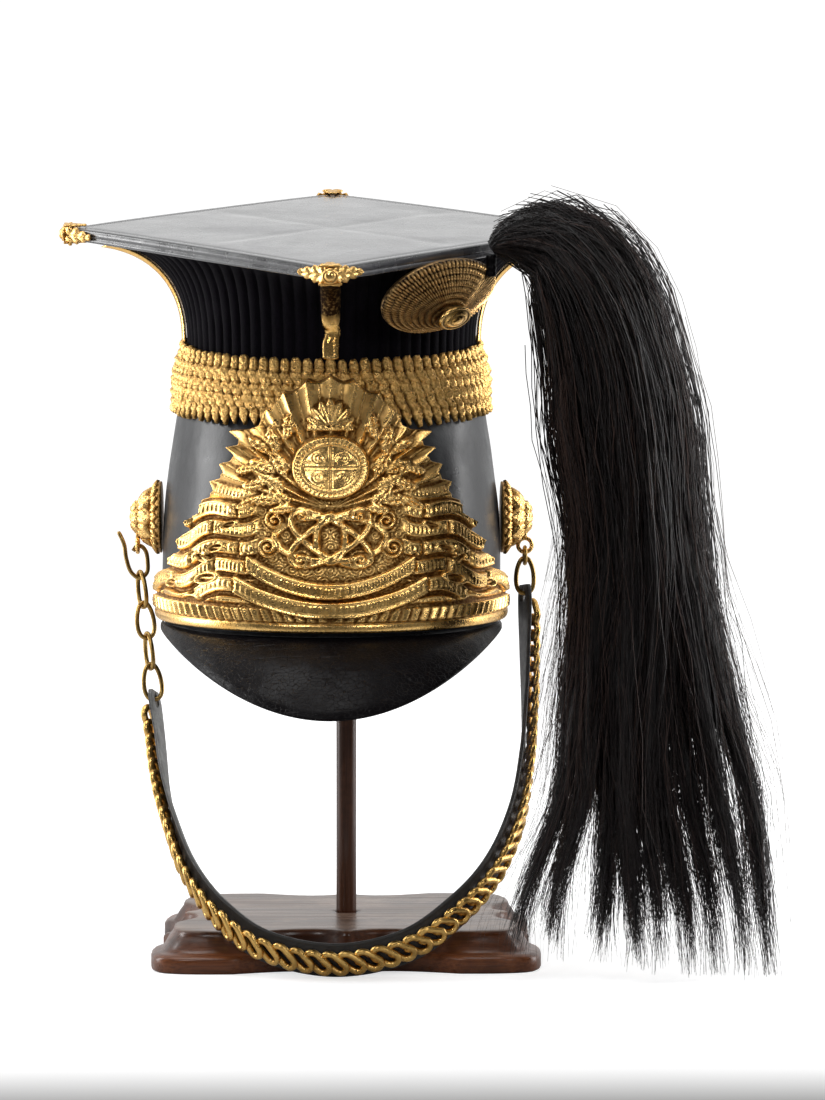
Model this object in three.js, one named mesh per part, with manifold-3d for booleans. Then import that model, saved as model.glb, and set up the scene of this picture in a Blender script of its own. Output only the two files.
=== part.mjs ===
// A lancer's cap with a square top and a horsehair plume, on its wooden display stand.
// Millimetres, +Z up. The cap's front faces -Y, and the origin is the centre of the stand's underside.
import * as THREE from "three";
import { mergeVertices } from "three/addons/utils/BufferGeometryUtils.js";
import Module from "manifold-3d";

const wasm = await Module();
wasm.setup();

// Clearance between pieces that touch
const fitGap = 0.35;

// Sizes of the stand
const standWidth = 159;
const standDepth = 150;
const standHeight = 18;
const standFootSpread = 10;
const standRecess = 9;
const standLobe = 34;
const rodDiameter = 9.5;
const rodSocketDepth = 10;

// Sizes of the skull, measured from its rim
const capOffset = -7;
const rimHeight = 157;
const rimTilt = 3;
const skullHeight = 118;
const skullHalfWidth = 80.5;
const skullHalfDepth = 100;
const leatherWall = 3;
const crownRise = 4;

// Sizes of the peak
const peakHalfWidth = 77;
const peakProjection = 42;
const peakDrop = 32;
const peakBulge = 4;
const peakThickness = 2.5;
const peakHalfAngle = 84;

// Sizes of the cloth top and the board on it
const topHeight = 63.4;
const waistHeight = 15;
const waistRadius = 68.5;
const flarePower = 2.3;
const clothWall = 2.5;
const clothInset = 4;
const ribsPerFace = 12;
const ribHeight = 0.8;
const boardSide = 178;
const boardThickness = 6.5;
const boardTilt = 13.4;
const boardDroop = 0.8;
const boardCorner = 3;

// Sizes of the brass fittings
const bandHeight = 27;
const bandBelowJoint = 14;
const bandThickness = 3;
const bandTeeth = 38;
const bandToothDepth = 2;
const stripWidth = 9;
const stripThickness = 1.4;
const leafWing = 19;
const leafHeight = 10;
const leafThickness = 1.2;
const leafKnob = 3.2;
const plateHeight = 123;
const plateFoot = 3;
const plateStandOff = 1.6;
const plateThickness = 1.4;
const bossRadius = 17;
const bossDepth = 15;
const bossHeight = 49.5;
const lugRadius = 3.3;
const lugWire = 1;
const lugReach = 11.5;
const lugDrop = 13.5;

// Sizes of the cockade on the wearer's left face of the top
const cockadeLength = 72;
const cockadeWidth = 38;
const cockadeRise = 9;
const cockadeDrift = 2;
const cockadeDrop = 5;
const cockadeLean = 35;
const cockadeBack = 3;
const cockadeInset = 7.47;
const cockadeShift = 11.81;
const cockadeBelowBoard = 30.8;
const buttonLength = 20;
const buttonWidth = 12;
const socketRadius = 2.4;
const socketLength = 10;

// Sizes of the plume
const plumeReach = 74;
const plumeRise = 5;
const plumeWidth = 99;
const plumeThickness = 56;
const plumeForward = 16;
const plumeClearance = 0.4;
const plumeLocks = 12;

// Sizes of the chin chain
const linkLength = 19;
const linkWidth = 10;
const linkWire = 1;
const hookWire = 1;
const hookReach = 10;
const ringRadius = 3.9;
const strapWidth = 16;
const strapThickness = 2;
const strapHole = 6;
const strapEnd = 5;
const chainWidth = 11;
const chainThickness = 3.4;
const chainInset = 9;

// Heights that follow from the sizes
const jointHeight = rimHeight + skullHeight;
const boardHeight = jointHeight + topHeight;
const boardReach = boardSide / Math.SQRT2;
const clothReach = boardReach - clothInset * Math.SQRT2;
const bandBottom = jointHeight - bandBelowJoint;
const bandTop = bandBottom + bandHeight;

// The skull's outline from the rim up: shares of its height, half width and half depth
const skullSections = [
  { up: 0.0, wide: 0.985, deep: 0.99 },
  { up: 0.2, wide: 1.0, deep: 1.0 },
  { up: 0.42, wide: 0.99, deep: 0.975 },
  { up: 0.62, wide: 0.96, deep: 0.92 },
  { up: 0.78, wide: 0.925, deep: 0.855 },
  { up: 0.9, wide: 0.9, deep: 0.785 },
  { up: 1.0, wide: 0.885, deep: 0.735 },
];

// The plate's edge from its foot up: share of its height, and degrees round the skull to each side
const plateEdge = [
  { up: 0, reach: 86 },
  { up: 0.03, reach: 89 },
  { up: 0.1, reach: 81 },
  { up: 0.18, reach: 72 },
  { up: 0.254, reach: 61 },
  { up: 0.333, reach: 56 },
  { up: 0.41, reach: 53 },
  { up: 0.488, reach: 47 },
  { up: 0.567, reach: 42 },
  { up: 0.644, reach: 37 },
  { up: 0.719, reach: 33 },
  { up: 0.815, reach: 31 },
  { up: 0.846, reach: 21 },
  { up: 0.931, reach: 14 },
  { up: 0.985, reach: 9 },
  { up: 1, reach: 6 },
];

// The plume from its root to its tips: shares of its reach, rise, fall, width, thickness and forward drift
const plumeSections = [
  { out: 0.0, rise: 0.0, fall: 0.0, wide: 0.07, thick: 0.13, forward: 0.0 },
  { out: 0.06, rise: 0.6, fall: 0.0, wide: 0.16, thick: 0.26, forward: 0.0 },
  { out: 0.2, rise: 1.0, fall: 0.0, wide: 0.3, thick: 0.42, forward: 0.05 },
  { out: 0.4, rise: 0.45, fall: 0.0, wide: 0.42, thick: 0.6, forward: 0.15 },
  { out: 0.6, rise: 0.0, fall: 0.045, wide: 0.54, thick: 0.75, forward: 0.28 },
  { out: 0.76, rise: 0.0, fall: 0.125, wide: 0.66, thick: 0.85, forward: 0.4 },
  { out: 0.87, rise: 0.0, fall: 0.225, wide: 0.75, thick: 0.92, forward: 0.5 },
  { out: 0.9, rise: 0.0, fall: 0.35, wide: 0.82, thick: 0.97, forward: 0.62 },
  { out: 0.92, rise: 0.0, fall: 0.5, wide: 0.89, thick: 1.0, forward: 0.75 },
  { out: 0.94, rise: 0.0, fall: 0.65, wide: 0.95, thick: 1.0, forward: 0.86 },
  { out: 0.98, rise: 0.0, fall: 0.8, wide: 1.0, thick: 0.98, forward: 0.94 },
  { out: 1.0, rise: 0.0, fall: 0.93, wide: 0.98, thick: 0.92, forward: 1.0 },
];

// The ends of the plume's locks: shares of its width and thickness to each side, and how far each falls
const plumeTips = [
  { side: -0.72, front: 0.1, fall: 0.985 },
  { side: -0.36, front: 0.45, fall: 1.0 },
  { side: -0.3, front: -0.45, fall: 0.99 },
  { side: 0.05, front: 0.1, fall: 1.0 },
  { side: 0.4, front: 0.45, fall: 0.995 },
  { side: 0.42, front: -0.45, fall: 1.0 },
  { side: 0.75, front: 0.0, fall: 0.975 },
];

// The chin strap's route from the hook's side round to the other, chosen by hand from the photograph
const strapRoute = [
  { x: -84.8, y: -3, z: 123.5 },
  { x: -81.6, y: -9, z: 104 },
  { x: -78.2, y: -26, z: 84.3 },
  { x: -71.7, y: -46, z: 63.3 },
  { x: -62.7, y: -65, z: 43.2 },
  { x: -48.7, y: -81.5, z: 26.6 },
  { x: -30.6, y: -91, z: 14.4 },
  { x: 2, y: -94.5, z: 7.8 },
  { x: 34.5, y: -91, z: 13.9 },
  { x: 56, y: -80.5, z: 27.4 },
  { x: 73, y: -62.5, z: 44 },
  { x: 84, y: -43, z: 65.2 },
  { x: 89.7, y: -23, z: 90.8 },
  { x: 91.8, y: -9, z: 120 },
  { x: 92.2, y: -3, z: 148 },
  { x: 92.3, y: -1, z: 174.2 },
];
const strapFacing = new THREE.Vector3(0, 0, 105);

// The open hook's wire, from its free tip to the curl through the boss's lug: shares of the hook's reach
const hookRoute = [
  { out: 0.925, up: 0.66 },
  { out: 0.655, up: 0.05 },
  { out: 0.545, up: -0.65 },
  { out: 0.305, up: -1.3 },
  { out: -0.095, up: -1.57 },
  { out: -0.435, up: -1.3 },
  { out: -0.465, up: -0.75 },
  { out: -0.375, up: -0.28 },
  { out: -0.155, up: -0.04 },
  { out: 0.065, up: -0.06 },
  { out: 0.225, up: -0.28 },
];

const finishes = {
  patent: new THREE.MeshStandardMaterial({ color: 0x16171a, roughness: 0.28, metalness: 0 }),
  leather: new THREE.MeshStandardMaterial({ color: 0x1b1a19, roughness: 0.5, metalness: 0 }),
  cloth: new THREE.MeshStandardMaterial({ color: 0x0b0a10, roughness: 0.95, metalness: 0 }),
  gilt: new THREE.MeshStandardMaterial({ color: 0xd9a63a, roughness: 0.28, metalness: 1 }),
  brass: new THREE.MeshStandardMaterial({ color: 0x8f7038, roughness: 0.4, metalness: 1 }),
  hair: new THREE.MeshStandardMaterial({ color: 0x0c0a0c, roughness: 0.6, metalness: 0 }),
  wood: new THREE.MeshStandardMaterial({ color: 0x4a2814, roughness: 0.35, metalness: 0 }),
};

const cap = new THREE.Group();
cap.position.x = capOffset;
const stand = new THREE.Group();
const root = new THREE.Group();
root.add(stand, cap);

/** Adds a named piece to a group. */
function piece(group, name, geometry, finish) {
  const mesh = new THREE.Mesh(geometry, finishes[finish]);
  mesh.name = name;
  group.add(mesh);
  return mesh;
}

/** A closed solid through rings of equally many points, capped at both ends or joined end to start. */
function loft(rings, joined = false) {
  const n = rings[0].length;
  const points = rings.flat();
  const index = [];
  const quad = (a, b, c, d) => index.push(a, b, c, a, c, d);
  const spans = joined ? rings.length : rings.length - 1;
  for (let r = 0; r < spans; r++) {
    const low = r * n;
    const high = ((r + 1) % rings.length) * n;
    for (let i = 0; i < n; i++) {
      const j = (i + 1) % n;
      quad(low + i, low + j, high + j, high + i);
    }
  }
  if (!joined) {
    for (const [ring, turned] of [[0, true], [rings.length - 1, false]]) {
      const centre = points.length;
      points.push(middle(rings[ring]));
      for (let i = 0; i < n; i++) {
        const a = ring * n + i;
        const b = ring * n + ((i + 1) % n);
        index.push(centre, turned ? b : a, turned ? a : b);
      }
    }
  }
  const geometry = new THREE.BufferGeometry().setFromPoints(points).setIndex(index);
  return enclosed(geometry) < 0 ? turnedOut(geometry) : geometry;
}

/** A closed shell between two grids of points: its face, and its back behind it. */
function shell(face, back) {
  const [rows, columns] = [face.length, face[0].length];
  const size = rows * columns;
  const points = [...face.flat(), ...back.flat()];
  const index = [];
  const quad = (a, b, c, d) => index.push(a, b, c, a, c, d);
  const at = (row, column) => row * columns + column;
  for (let r = 0; r + 1 < rows; r++) {
    for (let c = 0; c + 1 < columns; c++) {
      quad(at(r, c), at(r, c + 1), at(r + 1, c + 1), at(r + 1, c));
      quad(size + at(r + 1, c), size + at(r + 1, c + 1), size + at(r, c + 1), size + at(r, c));
    }
  }
  const rim = [];
  for (let c = 0; c + 1 < columns; c++) rim.push(at(0, c));
  for (let r = 0; r + 1 < rows; r++) rim.push(at(r, columns - 1));
  for (let c = columns - 1; c > 0; c--) rim.push(at(rows - 1, c));
  for (let r = rows - 1; r > 0; r--) rim.push(at(r, 0));
  rim.forEach((a, i) => {
    const b = rim[(i + 1) % rim.length];
    quad(b, a, size + a, size + b);
  });
  const geometry = new THREE.BufferGeometry().setFromPoints(points).setIndex(index);
  return enclosed(geometry) < 0 ? turnedOut(geometry) : geometry;
}

/** The middle of a ring of points. */
function middle(ring) {
  const sum = new THREE.Vector3();
  ring.forEach((p) => sum.add(p));
  return sum.divideScalar(ring.length);
}

/** Signed volume of an indexed geometry. */
function enclosed(geometry) {
  const at = geometry.attributes.position;
  const index = geometry.index.array;
  const [a, b, c] = [new THREE.Vector3(), new THREE.Vector3(), new THREE.Vector3()];
  let volume = 0;
  for (let i = 0; i < index.length; i += 3) {
    a.fromBufferAttribute(at, index[i]);
    b.fromBufferAttribute(at, index[i + 1]);
    c.fromBufferAttribute(at, index[i + 2]);
    volume += a.dot(b.cross(c)) / 6;
  }
  return volume;
}

/** The same geometry with every face turned round. */
function turnedOut(geometry) {
  const index = geometry.index.array;
  for (let i = 0; i < index.length; i += 3) [index[i + 1], index[i + 2]] = [index[i + 2], index[i + 1]];
  return geometry;
}

/** A manifold solid of a closed geometry. */
function solid(geometry) {
  const bare = geometry.clone();
  bare.deleteAttribute("normal");
  bare.deleteAttribute("uv");
  const merged = mergeVertices(bare, 1e-4);
  return new wasm.Manifold(
    new wasm.Mesh({
      numProp: 3,
      vertProperties: new Float32Array(merged.attributes.position.array),
      triVerts: new Uint32Array(merged.index.array),
    }),
  );
}

/** The three.js geometry of a manifold solid. */
function shaped(manifold) {
  const mesh = manifold.getMesh();
  return new THREE.BufferGeometry()
    .setAttribute("position", new THREE.BufferAttribute(new Float32Array(mesh.vertProperties), 3))
    .setIndex(new THREE.BufferAttribute(new Uint32Array(mesh.triVerts), 1));
}

/** One geometry of several closed ones that overlap. */
function fused(geometries) {
  return shaped(geometries.map(solid).reduce((whole, next) => whole.add(next)));
}

/** One geometry with others cut away from it. */
function cut(geometry, tools) {
  return shaped(tools.map(solid).reduce((whole, tool) => whole.subtract(tool), solid(geometry)));
}

/** A column of a table at a share, on a smooth curve through its rows. */
function smooth(table, key, column, share) {
  const last = table.length - 2;
  const i = THREE.MathUtils.clamp(table.findIndex((row) => row[key] >= share) - 1, 0, last);
  const [p, q] = [table[i], table[i + 1]];
  const [before, after] = [table[Math.max(i - 1, 0)], table[Math.min(i + 2, last + 1)]];
  const span = q[key] - p[key];
  const t = (share - p[key]) / span;
  const startSlope = ((q[column] - before[column]) / (q[key] - before[key])) * span;
  const endSlope = ((after[column] - p[column]) / (after[key] - p[key])) * span;
  const [t2, t3] = [t * t, t * t * t];
  return (
    (2 * t3 - 3 * t2 + 1) * p[column] +
    (t3 - 2 * t2 + t) * startSlope +
    (-2 * t3 + 3 * t2) * q[column] +
    (t3 - t2) * endSlope
  );
}

/** The cap's slices lean further forward with height, from the rim's tilt to the board's. */
function tiltAt(height) {
  const share = Math.max(0, (height - rimHeight) / (boardHeight - rimHeight));
  return THREE.MathUtils.degToRad(rimTilt + (boardTilt - rimTilt) * share ** 1.15);
}

/** A point of a tilted slice whose centre is at a height. */
function onSlice(x, y, height) {
  const tilt = tiltAt(height);
  return new THREE.Vector3(x, y * Math.cos(tilt), height + y * Math.sin(tilt));
}

/** How square a slice of the top is: round up to the waist's height, then a quarter oval to the board. */
function squareness(height) {
  const t = THREE.MathUtils.clamp(
    (height - jointHeight - waistHeight) / (topHeight - waistHeight), 0, 1);
  return 1 - (1 - t ** flarePower) ** (1 / flarePower);
}

/** The outline's point at an angle, 0 to the right and 270 at the front, in a slice's own plane. */
function outline(angle, height, grow = 0) {
  const turn = THREE.MathUtils.degToRad(angle);
  const round = new THREE.Vector2(Math.cos(turn), Math.sin(turn));
  const up = Math.min((height - rimHeight) / skullHeight, 1);
  let halfWidth = skullHalfWidth * smooth(skullSections, "up", "wide", up);
  let halfDepth = skullHalfDepth * smooth(skullSections, "up", "deep", up);
  if (height > jointHeight) {
    const share = Math.min((height - jointHeight) / waistHeight, 1);
    halfWidth += (waistRadius - halfWidth) * share;
    halfDepth += (waistRadius - halfDepth) * share;
  }
  const quarter = Math.floor(angle / 90);
  const share = angle / 90 - quarter;
  const corner = (k) => new THREE.Vector2(
    Math.cos((k * Math.PI) / 2), Math.sin((k * Math.PI) / 2)).multiplyScalar(clothReach);
  const square = corner(quarter).lerp(corner(quarter + 1), share);
  const point = new THREE.Vector2(round.x * halfWidth, round.y * halfDepth);
  point.lerp(square, squareness(height));
  const length = point.length();
  return point.multiplyScalar((length + grow) / length);
}

/** A slice of the cap's outer form as a ring of points. */
function slice(height, count, grow = 0) {
  return Array.from({ length: count }, (_, i) => {
    const p = outline((i * 360) / count, height, grow);
    return onSlice(p.x, p.y, height);
  });
}

/** The skull: a leather shell, open at the rim and closed by its crown at the joint. */
function skull() {
  const count = 32;
  const ups = [0, 0.14, 0.36, 0.6, 0.82];
  const heights = ups.map((up) => rimHeight + up * skullHeight);
  const crown = jointHeight - fitGap / 2;
  const outer = heights.map((h) => slice(h, count));
  const inner = heights.map((h) => slice(h, count, -leatherWall));
  const crownTop = slice(crown, count);
  const crownBelow = slice(crown - leatherWall - crownRise, count, -leatherWall - crownRise);
  return cut(loft([...outer, crownTop]), [
    loft([slice(rimHeight - 1, count, -leatherWall), ...inner.slice(1), crownBelow]),
  ]);
}

/** The peak: a drooping leather plate from the skull's rim, widest at the front. */
function peak() {
  const stations = 18;
  const across = [0, 0.33, 0.67, 1];
  return loft(Array.from({ length: stations + 1 }, (_, s) => {
    const degrees = -peakHalfAngle + (2 * peakHalfAngle * s) / stations;
    const side = Math.sin(THREE.MathUtils.degToRad(degrees));
    const front = Math.cos(THREE.MathUtils.degToRad(degrees));
    const root = outline(270 + degrees, rimHeight, 2 * fitGap);
    const start = onSlice(root.x, root.y, rimHeight);
    const spare = skullHalfWidth + 3 * fitGap - peakHalfWidth;
    const edge = new THREE.Vector3(
      (peakHalfWidth + spare * (1 - front)) * side,
      start.y - peakProjection * front ** 1.2 - peakThickness,
      start.z - peakDrop * front ** 2 - peakThickness / 2);
    const upper = across.map((share) => {
      const p = start.clone().lerp(edge, share);
      p.z += peakBulge * Math.sin(Math.PI * share) * front + peakThickness / 2;
      return p;
    });
    const lower = upper.map((p) => p.clone().add(new THREE.Vector3(0, 0, -peakThickness)));
    return [...upper, ...lower.reverse()];
  }));
}

/** The cloth top: a thin wall from the joint to the board, its outer face ribbed. */
function clothTop() {
  const shares = [0, 0.245, 0.5, 0.72, 0.88, 0.97, 1];
  const low = jointHeight + fitGap / 2;
  const high = boardHeight - fitGap;
  const heights = shares.map((share) => low + (high - low) * share);
  const count = 4 * ribsPerFace * 2;
  const outer = heights.map((h) => Array.from({ length: count }, (_, i) => {
    const p = outline((i * 360) / count, h, i % 2 ? 0 : -ribHeight);
    return onSlice(p.x, p.y, h);
  }));
  const inner = [low - 1, ...heights.slice(2, -1), high + 1]
    .map((h) => slice(Math.min(h, boardHeight), 24, -clothWall - ribHeight));
  inner[inner.length - 1].forEach((p) => { p.z += 1; });
  return cut(loft(outer), [loft(inner)]);
}

/** The board's outline, a square with its corners at front, back and sides, at an inset. */
function boardRing(inset, z) {
  const reach = boardReach - inset * Math.SQRT2;
  const perSide = 6;
  const trim = boardCorner / Math.SQRT2;
  return Array.from({ length: 4 * perSide }, (_, i) => {
    const quarter = Math.floor(i / perSide);
    const along = trim / reach + (1 - (2 * trim) / reach) * ((i % perSide) / (perSide - 1));
    const corner = (k) => new THREE.Vector2(Math.cos((k * Math.PI) / 2), Math.sin((k * Math.PI) / 2));
    const p = corner(quarter).lerp(corner(quarter + 1), along).multiplyScalar(reach);
    const droop = boardDroop * (p.length() / boardReach) ** 6;
    return new THREE.Vector3(p.x, p.y, z - (droop * z) / boardThickness);
  });
}

/** The leather board that closes the top, its corners drooping a little. */
function board() {
  const round = 1;
  const top = boardThickness;
  return loft([
    boardRing(boardSide / 2 - 20, 0),
    boardRing(round, 0),
    boardRing(0, round),
    boardRing(0, top - round),
    boardRing(round, top),
    boardRing(boardSide / 5, top),
    boardRing(boardSide / 2 - 20, top),
  ]);
}

/** A lobed leaf as a thin slab: its stem at the origin, its tip along +X, and its face to +Z. */
function leafSlab(length, halfWidth, lobes, thickness) {
  const side = [];
  for (let lobe = 0; lobe < lobes; lobe++) {
    const start = lobe / lobes;
    const end = (lobe + 1) / lobes;
    const swell = halfWidth * (1 - 0.75 * start);
    side.push([start, swell * 0.8], [start + (end - start) * 0.55, swell], [end - 0.02, swell * 0.62]);
  }
  const shape = new THREE.Shape();
  shape.moveTo(0, -side[0][1]);
  side.forEach(([along, half]) => shape.lineTo(along * length, -half));
  shape.lineTo(length * 1.02, 0);
  side.slice().reverse().forEach(([along, half]) => shape.lineTo(along * length, half));
  return new THREE.ExtrudeGeometry(shape, { depth: thickness, bevelEnabled: false });
}

/** A leaf mount for the board's corner: two wings, a flap above and below, and a knob. */
function cornerLeaf() {
  const back = boardReach + fitGap * Math.SQRT2;
  const middleHeight = boardThickness / 2 - boardDroop / 2;
  const wing = (mirror) => {
    const slab = leafSlab(leafWing, leafHeight / 2, 2, leafThickness);
    slab.rotateX(Math.PI / 2);
    slab.translate(-1, 0, 0);
    slab.rotateZ(THREE.MathUtils.degToRad(135));
    slab.translate(back, 0, middleHeight);
    return mirror ? turnedOut(mergeVertices(slab.scale(1, -1, 1))) : slab;
  };
  const flap = (z) => {
    const slab = leafSlab(leafWing * 0.42, leafHeight * 0.42, 1, leafThickness);
    slab.rotateZ(Math.PI);
    slab.translate(back + leafThickness, 0, z);
    return slab;
  };
  const nose = new THREE.CylinderGeometry(2, 2, leafHeight * 0.86, 6);
  nose.rotateX(Math.PI / 2);
  nose.translate(back + 0.9, 0, middleHeight);
  const knob = new THREE.SphereGeometry(leafKnob, 8, 4);
  knob.translate(back + leafThickness + 0.6, 0, middleHeight);
  return cut(
    fused([wing(false), wing(true), flap(boardThickness - boardDroop * 0.4 + fitGap),
      flap(-fitGap - leafThickness), nose, knob]),
    [cornerRoom()],
  );
}

/** The room that the board's corner takes inside a leaf mount. */
function cornerRoom() {
  const reach = boardReach + fitGap * Math.SQRT2;
  const ring = (z) => [[reach, 0], [reach - 40, 40], [reach - 40, -40]]
    .map(([x, y]) => new THREE.Vector3(x, y, z));
  return loft([ring(-fitGap), ring(boardThickness - boardDroop * 0.4 + fitGap)]);
}

/** A brass strip down one ridge of the cloth top, from the board to the band. */
function ridgeStrip(quarter) {
  const shares = [0, 0.2, 0.4, 0.56, 0.7, 0.81, 0.89, 0.95, 0.985];
  const low = bandTop + bandToothDepth + 2 * fitGap;
  const profile = shares.map((share) => {
    const height = low + (boardHeight - low) * share;
    return { height, reach: outline(quarter * 90, height).length() };
  });
  const half = stripWidth / 2;
  return loft(profile.map(({ height, reach }, i) => {
    const before = profile[Math.max(i - 1, 0)];
    const after = profile[Math.min(i + 1, profile.length - 1)];
    const run = new THREE.Vector2(after.reach - before.reach, after.height - before.height).normalize();
    const square = squareness(height);
    const fall = square * half + ((1 - square) * half * half) / (2 * reach);
    const at = (lift, aside, recede) => {
      const radial = reach - recede + run.y * lift;
      const z = -run.x * lift;
      const turn = (quarter * Math.PI) / 2;
      const x = radial * Math.cos(turn) - aside * Math.sin(turn);
      const y = radial * Math.sin(turn) + aside * Math.cos(turn);
      const p = onSlice(x, y, height);
      return new THREE.Vector3(p.x, p.y, p.z + z);
    };
    const inside = 2.5 * fitGap;
    const outside = inside + stripThickness;
    return [
      at(inside, -half, fall), at(inside, 0, 0), at(inside, half, fall),
      at(outside, half, fall), at(outside + 0.7, 0, 0), at(outside, -half, fall),
    ];
  }));
}

/** The gilt band round the waist, with a toothed edge above and below. */
function waistBand() {
  const count = bandTeeth * 2;
  const inside = 2 * fitGap;
  const profile = [
    { up: 0, out: inside, tooth: -1 },
    { up: 0.1, out: inside + bandThickness, tooth: -1 },
    { up: 0.8, out: inside + bandThickness, tooth: 0 },
    { up: 1, out: inside + bandThickness * 0.4, tooth: 1 },
    { up: 0.96, out: inside, tooth: 0 },
    { up: 0.5, out: inside, tooth: 0 },
  ];
  return loft(profile.map(({ up, out, tooth }) => Array.from({ length: count }, (_, i) => {
    const height = bandBottom + bandHeight * up + (i % 2 ? tooth * bandToothDepth : 0);
    const p = outline((i * 360) / count, height, out);
    return onSlice(p.x, p.y, height);
  })), true);
}

/** How far the plate's face stands in front of the body at a share of its height. */
function plateLift(up) {
  const overBand = THREE.MathUtils.smoothstep(up, 0.68, 0.79);
  return plateStandOff + (bandThickness + fitGap * 2 + 0.4) * overBand;
}

/** The plate's cast relief at a share of its reach and height: flutes, an oval shield, a crown and ribbons. */
function plateRelief(side, up, reach) {
  const across = (side * reach) / 60;
  const flutes = 1.1 * Math.abs(Math.sin(9 * Math.atan2(across, up - 0.2)));
  const oval = Math.hypot(across / 0.3, (up - 0.62) / 0.15);
  const shield = 3 * Math.sqrt(Math.max(0, 1 - oval * oval));
  const crown = 2.4 * Math.sqrt(Math.max(0, 1 - (across / 0.17) ** 2 - ((up - 0.84) / 0.07) ** 2));
  const ribbon = Math.abs(across) > 0.45 ? 1.2 * Math.abs(Math.sin(up * Math.PI * 7)) : 0.6;
  const edge = Math.min(1, (1 - Math.abs(side)) * 6);
  return edge * Math.max(flutes * (up > 0.75 ? 1 : 0.5), shield, crown, ribbon * (up < 0.6 ? 1 : 0));
}

/** The gilt plate on the front of the skull: a thin shell with a rayed edge and cast relief. */
function frontPlate() {
  const columns = 17;
  const foot = rimHeight + plateFoot;
  const grid = (lift) => plateEdge.map(({ up, reach }) => (
    Array.from({ length: columns + 1 }, (_, c) => {
      const side = (2 * c) / columns - 1;
      const height = foot + plateHeight * up;
      const p = outline(270 + side * reach, height, lift(side, up, reach));
      return onSlice(p.x, p.y, height);
    })));
  return shell(
    grid((side, up, reach) => plateLift(up) + plateThickness + plateRelief(side, up, reach)),
    grid((side, up) => plateLift(up)),
  );
}

/** A side boss: a stepped gilt dome, its axis along +X, with a lug under it that can face two ways. */
function sideBoss(lugFaces) {
  const profile = [
    [0, 0], [1, 0], [1, 0.107], [0.86, 0.28], [0.8, 0.307], [0.66, 0.56], [0.56, 0.6], [0.36, 0.867], [0, 1],
  ].map(([r, h]) => new THREE.Vector2(bossRadius * r, bossDepth * h));
  const dome = new THREE.LatheGeometry(profile, 16);
  dome.rotateZ(-Math.PI / 2);
  const lug = new THREE.TorusGeometry(lugRadius, lugWire, 5, 12);
  if (lugFaces === "sideways") lug.rotateY(Math.PI / 2);
  else lug.rotateX(Math.PI / 2);
  lug.translate(lugReach, 0, -lugDrop);
  const stem = new THREE.CylinderGeometry(lugWire, lugWire, lugDrop - lugRadius, 6);
  stem.rotateX(Math.PI / 2);
  stem.translate(lugReach, 0, (lugRadius - lugDrop) / 2);
  return fused([dome, lug, stem]);
}

/** The cockade: an oval dome stepped in rings towards a button, leaning out over the cloth. */
function cockade() {
  const rings = 4;
  const count = 22;
  const drift = new THREE.Vector2(cockadeDrift, -cockadeDrop).multiplyScalar(2);
  const oval = (share, z) => Array.from({ length: count }, (_, i) => {
    const turn = (i * 2 * Math.PI) / count;
    return new THREE.Vector3(
      (cockadeLength / 2) * share * Math.cos(turn) + drift.x * (1 - share),
      (cockadeWidth / 2) * share * Math.sin(turn) + drift.y * (1 - share), z);
  });
  const levels = [oval(0.9, -cockadeBack)];
  for (let ring = 0; ring < rings; ring++) {
    const share = 1 - 0.17 * ring;
    const z = (cockadeRise * ring) / rings;
    levels.push(oval(share, z), oval(share - 0.05, z + cockadeRise * 0.16));
  }
  return loft(levels);
}

/** The domed button at the middle of the cockade's rings. */
function cockadeButton() {
  const dome = new THREE.SphereGeometry(1, 14, 7);
  dome.scale(buttonLength / 2, buttonWidth / 2, 3);
  return dome;
}

/** The plume's path point, half sizes and axes at each of its sections, from the root. */
function plumeFlow() {
  const fall = plumeRoot.z - plumeClearance;
  const spots = plumeSections.map((row) => new THREE.Vector3(
    plumeRoot.x + plumeReach * row.out,
    plumeRoot.y - plumeForward * row.forward,
    plumeRoot.z + plumeRise * row.rise - fall * row.fall));
  return spots.map((spot, i) => {
    const run = spots[Math.min(i + 1, spots.length - 1)].clone().sub(spots[Math.max(i - 1, 0)]);
    const across = new THREE.Vector3(run.z, 0, -run.x).normalize().negate();
    return {
      spot,
      across,
      wide: (plumeWidth / 2) * plumeSections[i].wide,
      thick: (plumeThickness / 2) * plumeSections[i].thick,
    };
  });
}

/** The plume's outer form: one mass grooved into locks, whose ends part above the floor. */
function plume() {
  const flow = plumeFlow();
  const count = plumeLocks * 2;
  const mass = loft(flow.map(({ spot, across, wide, thick }) => (
    Array.from({ length: count }, (_, i) => {
      const turn = (i * 2 * Math.PI) / count;
      const groove = i % 2 ? 1 : 0.93;
      return spot.clone()
        .addScaledVector(across, wide * groove * Math.cos(turn))
        .add(new THREE.Vector3(0, -thick * groove * Math.sin(turn), 0));
    }))));
  const end = flow[flow.length - 1];
  const fall = plumeRoot.z - plumeClearance;
  const tips = plumeTips.map(({ side, front, fall: length }) => {
    const x = end.spot.x + plumeWidth * 0.5 * side;
    const y = end.spot.y - plumeThickness * 0.5 * front;
    const ring = (z, radius) => Array.from({ length: 6 }, (_, i) => new THREE.Vector3(
      x + radius * Math.cos((i * Math.PI) / 3), y + radius * Math.sin((i * Math.PI) / 3), z));
    return loft([
      ring(end.spot.z + fall * 0.06, plumeWidth * 0.07),
      ring(plumeRoot.z - fall * length + 8, plumeWidth * 0.085),
      ring(plumeRoot.z - fall * length, plumeWidth * 0.06),
    ]);
  });
  return fused([mass, ...tips]);
}

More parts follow.
